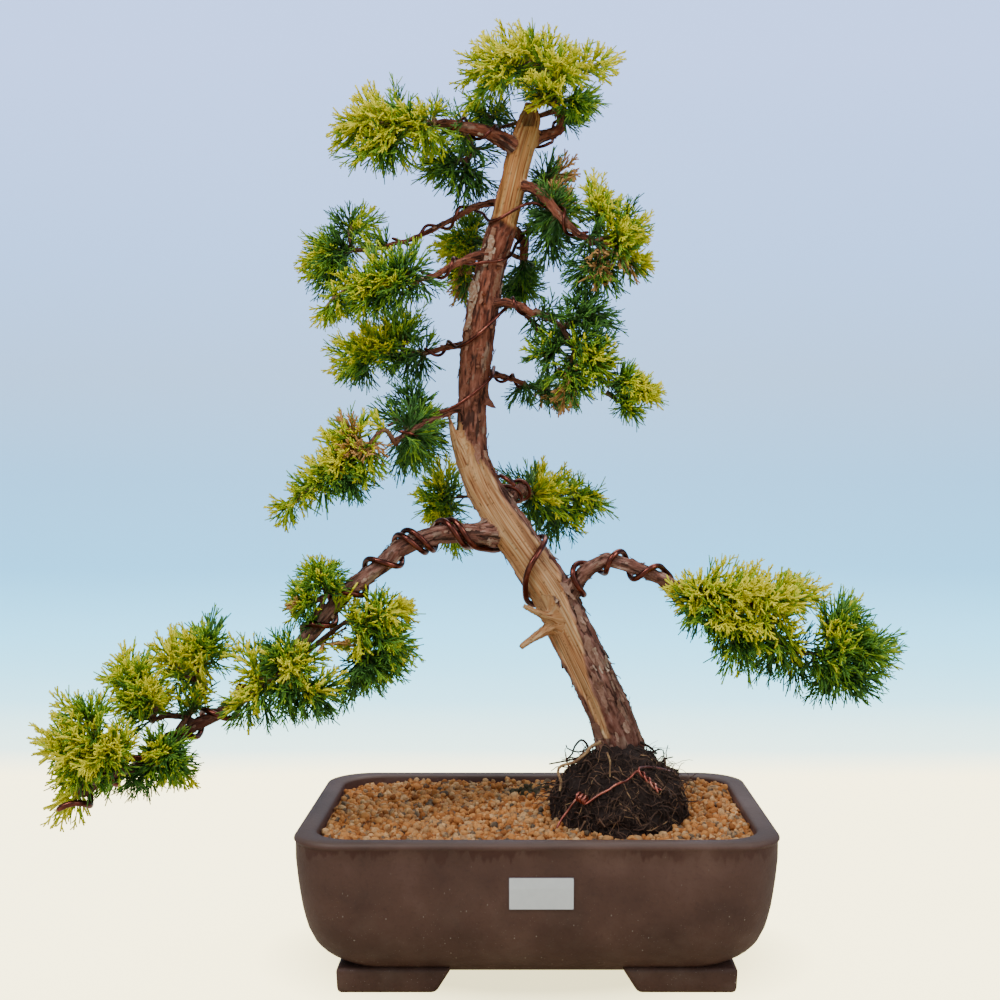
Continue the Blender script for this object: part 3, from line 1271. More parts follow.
def makeRootFibres(mass):
    draw = random.Random(rootLook["seed"])
    tree = searchTree(mass)
    sag = Vector((0, 0, -0.12))
    routes, tones = [], []
    for _ in range(rootLook["fibres"]):
        direction, point = ballPlace(draw, 0.05, 0.98)
        down = Vector((direction.x, direction.y, -0.9 + draw.uniform(-0.6, 0.6))).normalized()
        heading = (down + stray(draw, 0.8)).normalized()
        radius = draw.choice((0.00024, 0.00030, 0.00036, 0.0005))
        route = []
        steps = draw.randint(5, 10)
        for step in range(steps):
            near, normal = tree.find_nearest(point)[:2]
            point = near + normal * (radius * 0.8 + draw.uniform(0.0, 0.0008))
            if point.z < rootLook["lowest"]:
                break
            route.append((point.copy(), radius * (1 - 0.5 * step / steps)))
            heading += stray(draw, 0.5)
            heading -= normal * heading.dot(normal)
            heading.normalize()
            point = point + heading * rootLook["steps"][0]
        if len(route) > 2:
            routes.append(route)
            tones.append(draw.random() ** 1.4)
    for _ in range(rootLook["stray"]):
        # loose ends that stand out, mostly at the shoulder
        point, normal = tree.find_nearest(ballPlace(draw, 0.35, 0.95)[1])[:2]
        heading = (normal + stray(draw, 0.9)).normalized()
        radius = draw.choice((0.00030, 0.00042, 0.0006))
        route = []
        steps = draw.randint(4, 9)
        for step in range(steps):
            route.append((point.copy(), radius * (1 - 0.6 * step / steps)))
            heading = (heading + stray(draw, 0.5) + sag).normalized()
            point = point + heading * rootLook["steps"][1]
        routes.append(route)
        tones.append(draw.random() * 0.8)
    for depth, radius, tone, spots in rootLook["single"]:
        line = evenLine([seen(across, down, depth) for across, down in spots])
        routes.append([(point, radius * (1 - 0.4 * i / len(line))) for i, point in enumerate(line)])
        tones.append(tone)
    fibres = tubesFrom(routes, "rootFibres")
    paintTubes(fibres, routes, {"tone": [[value] * len(route) for route, value in zip(routes, tones)]})
    return fibres


def rootMaterial(name):
    material, tree, shader = newMaterial(name, Specular_IOR_Level=0.25)
    place = objectPlace(tree)
    tone = ownValue(tree, "tone")
    cloud = mottle(tree, place, 330, 2.6)
    level = maths(tree, "MULTIPLY_ADD", cloud, 0.18, times(tree, tone, 0.86))
    tint = ramp(tree, level, (0.00, 43, 31, 28), (0.35, 66, 49, 42), (0.66, 98, 74, 63),
                (0.86, 134, 100, 80), (0.94, 184, 144, 104), (1.0, 210, 174, 130))
    rough = spread(tree, cloud, 0.0, 1.0, 0.95, 0.72)
    connect(tree, shader, tint, rough, mottle(tree, place, 1300, 2.0), 0.8, 0.0008)
    return material


rootMass = makeRootMass()
rootTint = rootMaterial("blackRoots")
dress(rootMass, rootTint, "root_ball", "root_ball")
rootFibres = makeRootFibres(rootMass)
dress(rootFibres, rootTint, "root_ball")
print("roots ready", len(rootFibres.data.polygons))


# foliage: every spray has a few woody stems, with plumes of small sprigs that grow out of them.
# Stems and plume ends are given as the front view shows them, across and down in a 1000-unit frame;
# the last number of an end is its colour, 0 deep green to 9 golden, and -1 dried out.
# each spray: depth of its middle, half of its depth, stems, plume ends
sprays = {
    "Apex": (-0.004, 0.050, (
        ((553, 90), (540, 62), (518, 64), (495, 68)), ((552, 82), (575, 70), (600, 63))), (
        (497, 20, 9), (509, 23, 9), (521, 27, 8), (530, 25, 4), (543, 28, 7), (556, 27, 8), (566, 37, 7),
        (579, 47, 8), (591, 44, 7), (603, 48, 9), (624, 58, 9), (616, 72, 7), (603, 82, 6), (562, 86, 8),
        (549, 86, 7), (534, 92, 0), (511, 101, 4), (485, 103, 2), (457, 87, 7), (454, 118, 5),
        (459, 52, 8), (462, 63, 8), (473, 44, 8), (483, 34, 9), (521, 79, 9), (500, 76, 9), (478, 84, 7))),
    "ApexLow": (-0.012, 0.018, (
        ((566, 99), (580, 102)),), (
        (592, 98, 6), (596, 111, 4), (588, 116, 3), (579, 120, 2), (570, 125, 1), (584, 104, 5),
        (562, 112, 3), (575, 112, 3), (566, 98, 7), (601, 104, 5))),
    "ApexDroop": (0.024, 0.018, (
        ((497, 128), (492, 118), (484, 112)), ((492, 118), (500, 112))), (
        (470, 97, 5), (495, 102, 4), (503, 103, 4), (511, 113, 3), (509, 122, 2), (516, 128, 1),
        (514, 134, 1), (478, 104, 3), (470, 113, 4), (474, 120, 3), (484, 128, 1))),
    "CrownGold": (-0.022, 0.036, (
        ((418, 128), (400, 124), (380, 122), (362, 124)), ((400, 124), (385, 145), (375, 152)),
        ((434, 124), (434, 112))), (
        (368, 80, 9), (357, 88, 9), (362, 86, 9), (392, 78, 4), (397, 101, 3), (339, 115, 9),
        (334, 125, 9), (331, 136, 9), (333, 149, 7), (332, 156, 5), (341, 166, 4), (349, 107, 9),
        (356, 163, 7), (362, 155, 8), (372, 164, 6), (384, 173, 2), (394, 174, 2), (406, 169, 4),
        (415, 115, 8), (404, 106, 8), (400, 104, 8), (443, 152, 7), (432, 160, 6), (423, 167, 5),
        (395, 141, 8), (378, 138, 9), (431, 101, 9), (442, 101, 3), (438, 107, 8))),
    "CrownGreen": (0.016, 0.026, (
        ((474, 152), (462, 160), (448, 160)), ((465, 158), (470, 178))), (
        (417, 181, 5), (437, 186, 1), (444, 190, 1), (458, 205, 1), (465, 203, 0), (478, 196, 0),
        (484, 190, 0), (495, 190, 0), (420, 165, 3), (437, 140, 4), (455, 138, 5), (460, 155, 3),
        (465, 118, 7), (449, 103, 2), (498, 153, 2), (430, 175, 2))),
    "LeftHigh": (0.016, 0.030, (
        ((362, 250), (346, 252), (334, 262)), ((352, 250), (350, 232), (352, 222))), (
        (347, 203, 1), (336, 213, 1), (362, 209, 6), (372, 210, 7), (379, 219, 5), (380, 236, 5),
        (376, 226, 4), (307, 235, 3), (305, 242, 4), (325, 231, 1), (299, 262, 8), (300, 270, 6),
        (300, 280, 5), (311, 284, 2), (318, 288, 1), (317, 296, 1), (327, 290, 2), (325, 262, 3),
        (340, 270, 2))),
    "LeftMid": (-0.026, 0.030, (
        ((392, 284), (372, 284), (352, 287), (338, 294)), ((338, 294), (325, 308)),
        ((405, 282), (410, 268))), (
        (313, 324, 8), (319, 325, 8), (324, 325, 6), (333, 321, 5), (327, 297, 6), (336, 282, 7),
        (340, 274, 7), (344, 313, 4), (358, 319, 3), (366, 319, 1), (375, 316, 0), (381, 308, 3),
        (400, 305, 2), (355, 262, 4), (366, 252, 3), (380, 244, 6), (379, 265, 4), (391, 254, 2),
        (412, 244, 2), (421, 239, 5), (422, 264, 1), (444, 286, 1), (430, 297, 1), (420, 296, 1),
        (391, 276, 8), (360, 292, 7), (374, 282, 6))),
    "LeftLow": (0.020, 0.033, (
        ((420, 352), (402, 357), (380, 352), (355, 350)), ((380, 352), (360, 366)),
        ((402, 357), (404, 335))), (
        (328, 349, 6), (335, 341, 7), (327, 371, 8), (331, 373, 7), (340, 380, 4), (346, 381, 3),
        (352, 385, 2), (355, 333, 8), (362, 325, 7), (366, 323, 7), (384, 312, 6), (394, 306, 2),
        (401, 309, 4), (411, 302, 4), (426, 304, 3), (429, 324, 2), (432, 334, 4), (427, 373, 1),
        (420, 384, 1), (414, 377, 0), (407, 381, 0), (391, 380, 2), (367, 386, 2), (363, 347, 8),
        (374, 363, 5), (394, 332, 5))),
    "JinGreen": (0.006, 0.027, (
        ((416, 418), (402, 420), (388, 426)), ((416, 418), (410, 402)), ((402, 420), (412, 440))), (
        (398, 389, 2), (407, 384, 0), (417, 386, 0), (420, 389, 1), (422, 398, 2), (431, 400, 4),
        (438, 406, 2), (450, 413, 3), (442, 420, 1), (443, 441, 4), (450, 446, 1), (436, 468, 2),
        (431, 473, 0), (419, 458, 3), (412, 458, 4), (390, 401, 1), (386, 404, 2), (377, 402, 2),
        (398, 479, 0), (404, 477, 0), (414, 466, 1), (416, 474, 1))),
    "JinGold": (-0.030, 0.032, (
        ((384, 430), (366, 448), (346, 464), (326, 478)), ((326, 478), (302, 495), (286, 507)),
        ((366, 448), (352, 432))), (
        (272, 515, 8), (280, 523, 8), (287, 519, 6), (296, 514, 6), (284, 501, 5), (293, 495, 8),
        (320, 505, 3), (302, 500, 7), (311, 475, 4), (317, 450, 9), (318, 459, 9), (320, 430, 8),
        (329, 421, 7), (340, 410, 4), (338, 418, -1), (349, 417, -1), (361, 418, 4), (371, 411, 8),
        (371, 478, 5), (382, 481, 6), (365, 488, 5), (352, 502, 0), (362, 497, 0), (342, 498, 1),
        (329, 495, 2), (338, 482, 4), (333, 462, 9), (330, 470, 9), (354, 445, -1), (378, 459, -1),
        (372, 421, 8), (378, 445, 2))),
    "BehindLeft": (0.080, 0.034, (
        ((462, 497), (448, 500), (438, 510)), ((450, 500), (444, 480)), ((446, 502), (455, 530))), (
        (446, 455, 8), (439, 457, 7), (432, 474, 7), (425, 481, 2), (412, 493, 5), (420, 500, 2),
        (425, 513, 6), (428, 521, 6), (431, 526, 7), (445, 546, 5), (456, 551, 5), (461, 559, 4),
        (472, 553, 4), (467, 544, 5), (439, 496, 2), (442, 510, 2), (453, 518, 2), (456, 482, 3))),
    "BehindRight": (0.086, 0.034, (
        ((538, 494), (556, 492), (574, 494), (590, 497)), ((540, 494), (522, 486)),
        ((556, 492), (556, 515))), (
        (498, 470, 2), (500, 486, 3), (511, 474, 4), (526, 465, 1), (532, 467, 2), (543, 459, 9),
        (539, 463, 8), (565, 465, 8), (575, 475, 5), (588, 488, 5), (595, 492, 7), (603, 499, 7),
        (610, 511, 5), (602, 510, 3), (591, 518, 1), (584, 520, 5), (584, 532, 6), (572, 539, 1),
        (556, 548, 0), (551, 544, 0), (537, 535, 1), (530, 527, 2), (522, 520, 2), (554, 499, 9),
        (565, 482, 9), (540, 502, 9), (568, 517, 4))),
    "LowSprig": (-0.036, 0.020, (
        ((326, 594), (322, 580), (321, 572)), ((326, 596), (312, 603), (302, 603))), (
        (313, 558, 7), (324, 558, 6), (329, 560, 7), (339, 565, 5), (342, 571, 2), (340, 577, 2),
        (306, 564, 6), (303, 571, 4), (296, 584, 4), (299, 588, 4), (291, 593, 6), (291, 602, 6),
        (286, 610, -1), (288, 622, 7), (309, 620, 2), (304, 622, 2), (336, 580, 4))),
    "LowInner": (-0.020, 0.042, (
        ((352, 618), (366, 628), (380, 640)), ((358, 622), (378, 613), (394, 609)),
        ((366, 628), (362, 655), (368, 672))), (
        (354, 587, 8), (341, 588, 7), (366, 590, 8), (375, 591, 5), (388, 590, 6), (381, 596, 3),
        (401, 599, 9), (407, 601, 9), (408, 608, 9), (415, 611, 9), (413, 619, 8), (411, 630, 6),
        (402, 642, 2), (405, 647, 2), (414, 652, 2), (420, 658, 5), (413, 665, 2), (408, 672, 1),
        (404, 679, 1), (401, 681, 4), (388, 688, 2), (374, 687, 1), (368, 694, 1), (354, 691, 1),
        (346, 695, 0), (345, 710, 0), (340, 711, 0), (341, 650, 9), (353, 656, 7), (335, 624, -1),
        (360, 619, 4))),
    "LowMiddle": (-0.060, 0.038, (
        ((296, 660), (284, 674), (266, 680), (250, 672)), ((284, 674), (306, 688), (324, 690)),
        ((266, 680), (256, 696), (240, 704))), (
        (231, 636, 8), (243, 639, 8), (257, 637, 1), (274, 635, 1), (288, 634, 5), (286, 664, 9),
        (298, 643, 9), (313, 646, 2), (273, 631, 0), (265, 639, 1), (320, 650, 7), (343, 672, 9),
        (343, 682, 7), (341, 694, 2), (335, 712, 2), (329, 716, 0), (324, 714, 1), (316, 716, 1),
        (302, 718, 2), (296, 719, 0), (284, 724, 1), (268, 731, 0), (249, 731, 5), (250, 722, 2),
        (231, 724, 3), (229, 710, 9), (224, 701, 9), (234, 701, 9), (231, 684, 8), (325, 690, 9),
        (308, 678, 3), (297, 672, 9))),
    "LowUpper": (-0.022, 0.038, (
        ((206, 688), (192, 680), (178, 668), (168, 654)), ((192, 680), (204, 660), (209, 640))), (
        (212, 613, 2), (204, 622, 4), (222, 618, 2), (180, 624, 6), (168, 628, 8), (158, 636, 9),
        (225, 639, 4), (149, 646, 9), (152, 659, 9), (199, 655, 9), (200, 687, 9), (179, 690, 2),
        (191, 705, 1), (199, 707, 1), (207, 698, 8), (168, 673, 6), (181, 648, 7), (170, 632, 8),
        (186, 630, 7), (206, 630, 4), (216, 634, 2), (232, 650, 5))),
    "LowOuter": (-0.040, 0.034, (
        ((156, 708), (144, 704), (136, 690), (128, 672)), ((144, 704), (158, 692))), (
        (122, 647, 9), (134, 647, 7), (124, 655, 7), (143, 655, 3), (151, 662, 8), (101, 678, 9),
        (116, 669, 7), (109, 675, 8), (159, 676, 8), (175, 696, 9), (172, 700, 9), (157, 700, 8),
        (115, 698, 7), (120, 705, 5), (116, 712, 7), (127, 719, 2), (138, 714, 2), (145, 685, 9),
        (131, 684, 4), (150, 714, 4), (166, 708, 6))),
    "LowTip": (-0.084, 0.036, (
        ((112, 742), (94, 750), (78, 752), (62, 744)), ((104, 744), (94, 728), (86, 714)),
        ((84, 752), (84, 778), (76, 800))), (
        (33, 725, 9), (38, 730, 9), (43, 739, 9), (53, 758, 5), (56, 769, 8), (56, 788, 8), (66, 785, 5),
        (72, 788, 4), (50, 692, 7), (63, 693, 8), (65, 698, 8), (52, 714, 9), (82, 696, 2), (91, 696, 5),
        (100, 693, 6), (107, 690, 4), (75, 703, 4), (127, 723, 7), (134, 736, 9), (99, 801, 2),
        (106, 794, 2), (120, 782, 4), (131, 794, 1), (48, 822, 9), (60, 816, 8), (74, 828, 8),
        (97, 751, 9), (79, 737, 9), (118, 727, 7), (127, 737, 6), (65, 737, 9), (113, 746, 9),
        (83, 769, 8), (95, 776, 7))),
    "LowUnder": (-0.058, 0.024, (
        ((162, 748), (166, 756), (172, 766)), ((162, 748), (150, 764), (144, 774))), (
        (150, 744, 8), (145, 760, 8), (181, 732, 2), (190, 741, 2), (191, 755, 1), (193, 773, 2),
        (193, 784, 6), (186, 785, 5), (163, 784, 5), (174, 782, 4), (172, 755, 2), (131, 796, 0),
        (140, 787, 0), (125, 790, 0), (149, 775, 2), (163, 746, 4), (177, 766, 2), (150, 731, 5),
        (160, 728, 3), (172, 736, 2))),
    "RightGold": (-0.028, 0.044, (
        ((700, 590), (722, 594), (750, 600), (782, 604)), ((710, 594), (728, 616), (748, 640)),
        ((750, 600), (772, 626), (782, 646))), (
        (666, 587, 9), (669, 596, 9), (673, 605, 3), (677, 577, 9), (692, 574, 9), (702, 573, 8),
        (713, 570, 8), (722, 564, 4), (732, 558, 8), (742, 564, 6), (752, 560, 9), (759, 562, 9),
        (770, 568, 9), (778, 573, 9), (788, 568, 6), (789, 573, 8), (799, 574, 8), (808, 574, 8),
        (818, 579, 9), (823, 589, 8), (827, 595, 7), (827, 603, 3), (686, 618, 2), (687, 626, 2),
        (693, 638, 2), (709, 640, 2), (713, 648, 4), (715, 658, 1), (724, 678, 4), (737, 675, 3),
        (749, 679, 1), (756, 670, 3), (768, 683, 0), (778, 673, 1), (784, 672, 3), (791, 670, 5),
        (802, 667, 4), (795, 610, 9), (792, 597, 9), (792, 621, 9), (759, 651, 8), (732, 628, 8),
        (756, 634, 8), (716, 631, 8), (711, 604, 7), (802, 629, 7), (803, 648, 7), (740, 604, 9),
        (762, 610, 8), (697, 586, 9), (756, 589, 8))),
    "RightGreen": (-0.024, 0.034, (
        ((822, 655), (840, 650), (858, 646)), ((826, 655), (830, 630), (838, 616)),
        ((832, 652), (836, 672), (846, 680))), (
        (819, 615, 7), (821, 609, 2), (834, 604, 2), (840, 593, 2), (851, 593, 3), (860, 598, 6),
        (862, 609, 1), (870, 620, 2), (869, 629, 3), (899, 635, 3), (885, 634, 2), (899, 646, 3),
        (901, 653, 5), (896, 667, 4), (896, 661, 2), (889, 677, 2), (887, 689, 1), (881, 694, 1),
        (875, 696, 1), (865, 702, 0), (859, 695, 0), (853, 688, 2), (843, 687, 3), (833, 696, 1),
        (821, 702, 1), (817, 696, 1), (807, 698, 1), (800, 695, 2), (799, 688, 3), (791, 678, 0),
        (835, 621, 7), (850, 634, 6), (851, 652, 4), (835, 668, 5), (867, 661, 3))),
    "RightHigh": (-0.014, 0.028, (
        ((600, 240), (614, 236), (628, 230)), ((612, 238), (622, 254), (634, 262)),
        ((602, 242), (598, 262), (594, 274)), ((598, 214), (588, 200))), (
        (606, 197, 5), (620, 198, 7), (625, 204, 8), (636, 200, 1), (633, 211, 6), (648, 218, 8),
        (649, 230, 5), (646, 236, 6), (641, 219, 8), (643, 242, 8), (651, 261, 9), (650, 269, 8),
        (642, 276, 3), (635, 279, -1), (630, 280, 2), (615, 293, 1), (617, 289, 1), (606, 289, 2),
        (594, 288, -1), (594, 278, -1), (610, 279, -1), (563, 277, 1), (569, 291, 0), (565, 262, 0),
        (575, 284, 0), (595, 219, 1), (602, 205, 1), (635, 230, 9), (630, 242, 4), (641, 253, 8),
        (619, 215, 4), (586, 173, 7), (594, 172, 8), (604, 175, 9), (607, 183, 9), (607, 193, 9),
        (585, 300, 1))),
    "RightInner": (0.020, 0.026, (
        ((542, 190), (552, 200), (562, 212)), ((542, 188), (546, 172)),
        ((556, 206), (552, 228), (546, 244))), (
        (536, 164, 1), (539, 168, 1), (548, 165, 0), (561, 156, 1), (575, 158, -1), (576, 169, -1),
        (553, 152, 2), (565, 176, 1), (531, 175, 1), (526, 204, 1), (529, 219, 1), (524, 224, 2),
        (525, 235, 2), (537, 257, 2), (542, 270, 1), (553, 264, 1), (561, 254, 0), (561, 258, 0),
        (572, 247, 1), (584, 225, 3), (585, 215, 4), (578, 201, 2), (572, 198, 2), (552, 198, 2),
        (553, 191, 1), (545, 224, 3), (543, 239, 2), (561, 232, 2))),
    "RightMid": (-0.018, 0.032, (
        ((560, 326), (568, 338), (582, 356), (600, 370)), ((562, 328), (578, 316), (588, 304)),
        ((568, 338), (552, 352), (544, 362)), ((576, 350), (570, 372), (574, 386))), (
        (546, 309, 1), (560, 300, 0), (567, 300, 0), (578, 298, 0), (585, 287, 1), (595, 290, 2),
        (603, 301, 0), (606, 311, 0), (613, 316, 0), (617, 322, 1), (619, 330, 0), (612, 336, 0),
        (609, 341, 2), (613, 345, 7), (619, 358, 5), (612, 365, 8), (539, 339, 0), (532, 342, 0),
        (525, 349, 7), (525, 360, 1), (542, 333, 2), (534, 355, 3), (576, 404, 1), (580, 398, 2),
        (590, 394, 5), (571, 404, -1), (561, 414, -1), (569, 399, 2), (542, 383, 1), (552, 380, 3),
        (570, 388, 4), (585, 373, 5), (593, 349, 5), (602, 360, 8), (599, 383, 3), (613, 391, 3),
        (602, 393, 5))),
    "RightTips": (-0.022, 0.018, (
        ((620, 379), (636, 384), (650, 396)), ((606, 392), (620, 402), (632, 411))), (
        (659, 394, 9), (658, 406, 8), (655, 390, 9), (648, 386, 9), (624, 366, 3), (628, 371, 4),
        (619, 373, 6), (634, 390, 7), (640, 395, 7), (647, 400, 7), (626, 392, 0), (619, 389, 1),
        (640, 418, 5), (632, 407, 5), (627, 415, 5), (622, 415, 4), (616, 407, 4), (625, 399, 6),
        (636, 382, 9))),
    "RightLow": (0.030, 0.015, (
        ((540, 388), (552, 393), (562, 400)),), (
        (522, 398, 1), (510, 407, 0), (557, 402, 1), (563, 395, 2), (570, 401, 3), (540, 380, 2),
        (547, 378, 3), (559, 409, -1), (568, 404, -1), (576, 396, 3), (548, 404, 1))),
    "RearLeft": (0.050, 0.027, (
        ((479, 238), (472, 248), (466, 258)), ((474, 246), (470, 228)), ((468, 258), (468, 284))), (
        (476, 211, 5), (470, 212, 5), (466, 217, 3), (457, 221, 2), (454, 231, 3), (455, 236, 1),
        (450, 239, 8), (437, 243, 8), (432, 251, 9), (440, 253, 6), (446, 253, 6), (454, 253, 7),
        (459, 257, 8), (454, 275, 8), (449, 280, 3), (453, 290, -1), (455, 294, 5), (454, 304, -1),
        (465, 299, 3), (466, 303, 2), (486, 212, 2), (476, 223, 4), (473, 238, 3), (465, 245, 8),
        (467, 275, 2))),
    "RearRight": (0.058, 0.022, (
        ((521, 268), (518, 280), (519, 292)), ((519, 274), (528, 272))), (
        (531, 262, 1), (536, 269, 1), (533, 277, 2), (535, 287, 3), (544, 299, 1), (532, 292, 2),
        (526, 299, 1), (520, 296, 1), (510, 296, 0), (501, 292, 0), (514, 309, 0), (508, 308, 0),
        (502, 307, 0), (505, 284, 1), (513, 288, 1), (525, 281, 2))),
}

frondLook = {
    "gold": {"length": 0.0142, "thick": 0.00080, "end": 0.84, "tips": 3, "tipLength": 0.0058, "fan": 27},
    "green": {"length": 0.0158, "thick": 0.00062, "end": 0.70, "tips": 3, "tipLength": 0.0084, "fan": 21},
    "shapes": 8,
    "spacing": 0.0046,
    "layers": ((1.0, -1), (0.90, 1), (0.62, -1), (0.52, 1)),  # how far out, and front or back
    "wander": 0.16,  # how far the ends of the inner layers stray
    "bulge": 0.88,
    "depthStray": (-0.12, 0.20),
    "seatDepth": 0.0035,  # how far inside the bark the first stem starts
    "footLead": 0.35,  # how far back along the stem a plume starts
    "reach": (0.006, 0.045),  # the shortest plume, and the longest that passes a limb
    "room": (0.0014, 0.0008),  # from the bark, at first and where it passes in front
    "opening": (38, 17, 8),  # a sprig's angle at a plume's foot, how far it closes, and its stray
    # left free in the front view: the low wire's bare end and the bare top
    "inView": ((50, 101, 792, 815), (505, 547, 94, 176)),
}


def cordBetween(start, end, thick, thin):
    along = end - start
    bpy.ops.mesh.primitive_cone_add(
        vertices=3, radius1=thick, radius2=thin, depth=along.length, location=(start + end) / 2,
        rotation=along.to_track_quat("Z", "Y").to_euler())
    return bpy.context.object


def makeSprig(look, seed):
    # one short cord with side tips left and right in turn
    draw = random.Random(seed)
    length, thick = look["length"], look["thick"]
    cords = [cordBetween(Vector(), Vector((0, 0, length)), thick, thick * look["end"])]
    for index in range(look["tips"]):
        start = Vector((0, 0, length * (0.16 + 0.70 * index / look["tips"] + draw.uniform(0, 0.08))))
        fan = math.radians(look["fan"] + draw.uniform(-7, 7)) * (1 if index % 2 else -1)
        tilt = draw.uniform(-0.5, 0.5)
        way = Vector((math.sin(fan) * math.cos(tilt), abs(math.sin(fan)) * math.sin(tilt), math.cos(fan)))
        end = start + way * look["tipLength"] * draw.uniform(0.8, 1.2)
        cords.append(cordBetween(start, end, thick * 0.85, thick * 0.85 * look["end"]))
    sprig = joinAll(cords, "sprig")
    bpy.ops.object.shade_smooth()
    reach = max(vertex.co.z for vertex in sprig.data.vertices)
    writeValues(sprig.data, "tip", [vertex.co.z / reach for vertex in sprig.data.vertices])
    for name in ("tone", "dead", "wood"):
        sprig.data.attributes.new(name, "FLOAT", "POINT")
    return sprig


def blocked(base, tip, room):
    # whether the bark is in the way
    for t in (0.35, 0.6, 0.8, 1.0):
        point = base.lerp(tip, t)
        near, normal, _, distance = trunkTree.find_nearest(point)
        if distance < room or (point - near).dot(normal) < 0:
            return True
    return False


def makePlume(base, tip, gold, draw, shapes, spots, cords):
    # a curved cord with sprigs to both sides, longest near its foot
    span = tip - base
    length = span.length
    bend = base.lerp(tip, 0.5) + Vector([draw.uniform(-0.09, 0.09) * length for _ in range(3)])
    bend.z += length * (-0.12 if span.z > 0 else 0.10)
    reach = max(0.35, 1 - 0.0070 / length)

    def at(t):
        return base * (1 - t) ** 2 + bend * 2 * t * (1 - t) + tip * t * t

    count = max(4, round(length * 0.82 / frondLook["spacing"]))
    roll = draw.uniform(0, fullTurn)
    fullness = min(1.5, length / 0.020)
    opening, closing, loose = frondLook["opening"]
    dead = 1.0 if gold < 0 else 0.0
    for index in range(count):
        t = (0.16 + 0.84 * index / (count - 1)) * reach
        heading = (at(min(1.0, t + 0.03)) - at(t - 0.03)).normalized()
        last = index == count - 1
        angle = 0.0 if last else math.radians(opening - closing * t + draw.uniform(-loose, loose))
        turn = roll + math.pi * (index % 2) + draw.gauss(0, 0.40)
        size = (0.50 + 0.70 * (1 - t) * fullness) * draw.uniform(0.80, 1.15)
        tone = max(0.02, gold / 9) * 0.86 + 0.42 * (t - 0.60) + draw.gauss(0, 0.13)
        matrix = (standing(at(t), heading) @ Matrix.Rotation(turn, 4, "Z") @ Matrix.Rotation(angle, 4, "X")
                  @ Matrix.Rotation(math.pi / 2 + draw.gauss(0, 0.5), 4, "Z")
                  @ Matrix.Diagonal((min(1.1, 0.5 + 0.5 * size),) * 2 + (size, 1.0)))
        kind = "gold" if tone > 0.50 or dead else "green"
        spots.append((draw.choice(shapes[kind]), matrix, (min(1.0, max(0.0, tone)), dead)))
    cords.append(([(at(reach * step / 3), 0.00085 - 0.00018 * step) for step in range(4)], gold, dead))


def sprayNode(name):
    # the CAD's name for it: LeftHigh is spray_left_high
    return "spray" + "".join("_" + letter.lower() if letter.isupper() else letter for letter in name)


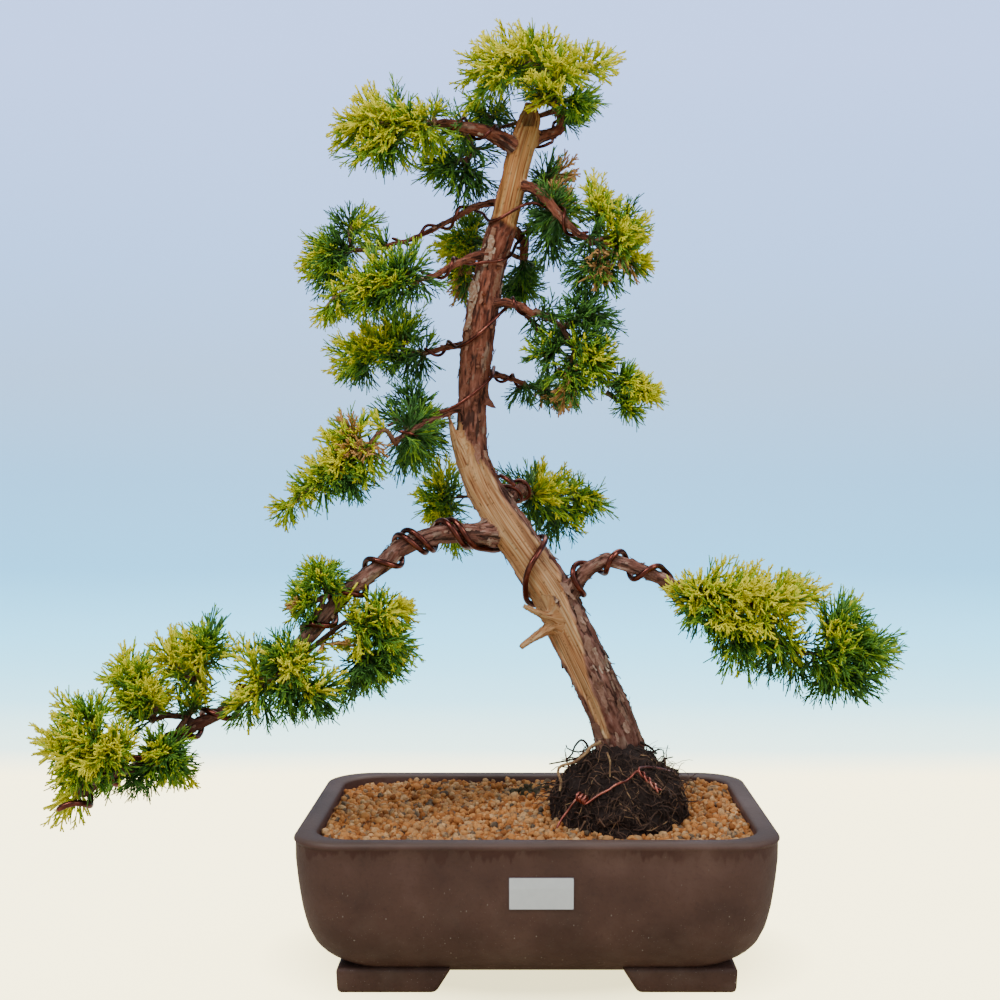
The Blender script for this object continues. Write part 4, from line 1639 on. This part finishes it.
def makeSpray(name, spec, shapes, number):
    depth, deep, stems, ends = spec
    shortest, longest = frondLook["reach"]
    room, closeRoom = frondLook["room"]
    draw = random.Random(number)
    # the seat is the point of the CAD twig that is nearest the trunk
    seat = min((vertex.co for vertex in nodes[sprayNode(name)].data.vertices),
               key=lambda point: trunkTree.find_nearest(point)[3]).copy()
    lines = []
    for index, stem in enumerate(stems):
        points = [seen(across, down, depth) for across, down in stem]
        if index == 0:
            # it starts inside the bark of the limb
            inside = seat + (trunkTree.find_nearest(seat)[0] - seat).normalized() * frondLook["seatDepth"]
            points = [inside, seat] + points
        lines.append(evenLine(points))
    acrossAll, downAll, _ = zip(*ends)
    first = Vector((min(acrossAll), min(downAll)))
    last = Vector((max(acrossAll), max(downAll)))
    middle, half = (first + last) / 2, (last - first) / 2
    spots, cords = [], []
    for across, down, gold in ends:
        for share, side in frondLook["layers"]:
            offset = Vector((across, down)) - middle
            wander = 0.0 if share == 1.0 else frondLook["wander"]
            offset = Vector([offset[i] * share + draw.uniform(-wander, wander) * half[i] for i in (0, 1)])
            out = min(1.0, math.hypot(offset.x / half.x, offset.y / half.y))
            far = depth + side * deep * (frondLook["bulge"] * math.sqrt(1 - out * out)
                                         + draw.uniform(*frondLook["depthStray"]))
            spotX, spotY = middle.x + offset.x, middle.y + offset.y
            if side < 0 and any(left < spotX < right and top < spotY < bottom
                                for left, right, top, bottom in frondLook["inView"]):
                continue
            tip = seen(spotX, spotY, far)
            line, near = min(((line, i) for line in lines for i in range(len(line))),
                             key=lambda found: (found[0][found[1]] - tip).length)
            gap = (line[near] - tip).length
            base = line[max(0, near - round(frondLook["footLead"] * gap / 0.002))]
            if (tip - base).length < shortest:
                continue
            if blocked(base, tip, room):
                # it grows from the limb's front instead, and passes in front of the limb
                base = trunkTree.find_nearest(base + Vector((0, -0.02, 0.004)))[0]
                tries = [seen(spotX, spotY, far - 0.005 * step) for step in range(7)]
                tip = next((point for point in tries if not blocked(base, point, closeRoom)), None)
                if tip is None or not 0.005 <= (tip - base).length <= longest:
                    continue
            makePlume(base, tip, gold, draw, shapes, spots, cords)
    green = scatter(spots, "foliage" + name, ("tone", "dead"))
    routes = []
    for index, line in enumerate(lines):
        foot = 0.0019 if index else 0.0025
        routes.append([(point, foot + (0.0008 - foot) * i / (len(line) - 1)) for i, point in enumerate(line)])
    bent = [route for route, _, _ in cords]
    tubes = tubesFrom(routes + bent, "twigs")
    none = [[0.0] * len(route) for route in routes]
    paintTubes(tubes, routes + bent, {
        "wood": [[1.0] * len(route) for route in routes] + [[0.85, 0.60, 0.25, 0.0]] * len(bent),
        "tone": none + [[max(0.0, gold / 9) * 0.8] * 4 for _, gold, _ in cords],
        "dead": none + [[dead] * 4 for _, _, dead in cords]})
    return joinAll([green, tubes], "foliage" + name), len(spots)


def leafMaterial():
    material, tree, shader = newMaterial("juniperLeaf", Specular_IOR_Level=0.30, Roughness=0.50)
    place = objectPlace(tree)
    tone = ownValue(tree, "tone")
    tip = ownValue(tree, "tip")
    cloud = mottle(tree, place, 300, 1.8)
    level = sway(tree, tone, tip, 0.30)
    level = sway(tree, level, cloud, 0.16)
    tint = ramp(tree, level, (0.00, 62, 104, 46), (0.18, 94, 146, 56), (0.40, 142, 184, 48),
                (0.60, 196, 214, 40), (0.80, 242, 232, 32), (1.00, 255, 246, 74))
    tint = mix(tree, ownValue(tree, "dead"), tint, colour(214, 160, 96))
    twig = ramp(tree, mottle(tree, place, 420, 2.4), (0.1, 84, 46, 34), (0.9, 152, 102, 78))
    tint = mix(tree, ownValue(tree, "wood"), tint, twig)
    connect(tree, shader, tint, None, mottle(tree, place, 1100, 1.6), 0.4, 0.0004)
    return material


leaf = leafMaterial()
shapes = {}
for kind in ("gold", "green"):
    shapes[kind] = [makeSprig(frondLook[kind], seed) for seed in range(frondLook["shapes"])]
goldNodes = [row["node"] for row in frame["record"].get("subparts", [])
             if row.get("material_slot") == "foliage_gold"]
sprigTotal = 0
for number, (name, spec) in enumerate(sprays.items(), 101):
    foliage, made = makeSpray(name, spec, shapes, number)
    nodeName = sprayNode(name)
    dress(foliage, leaf, "foliage_gold" if nodeName in goldNodes else "foliage_green", nodeName)
    sprigTotal += made
for shape in shapes["gold"] + shapes["green"]:
    bpy.data.objects.remove(shape)
print("foliage ready", sprigTotal, "gold nodes", len(goldNodes))


# what stays as the CAD gives it gets its own material
screen = screenMaterial()
for nodeName, material in (("label", labelMaterial()), ("drain_screen_left", screen),
                           ("drain_screen_right", screen), ("soil", grainMaterial("clayDust", 190))):
    nodes[nodeName].data.materials.clear()
    nodes[nodeName].data.materials.append(material)

clearSelection()
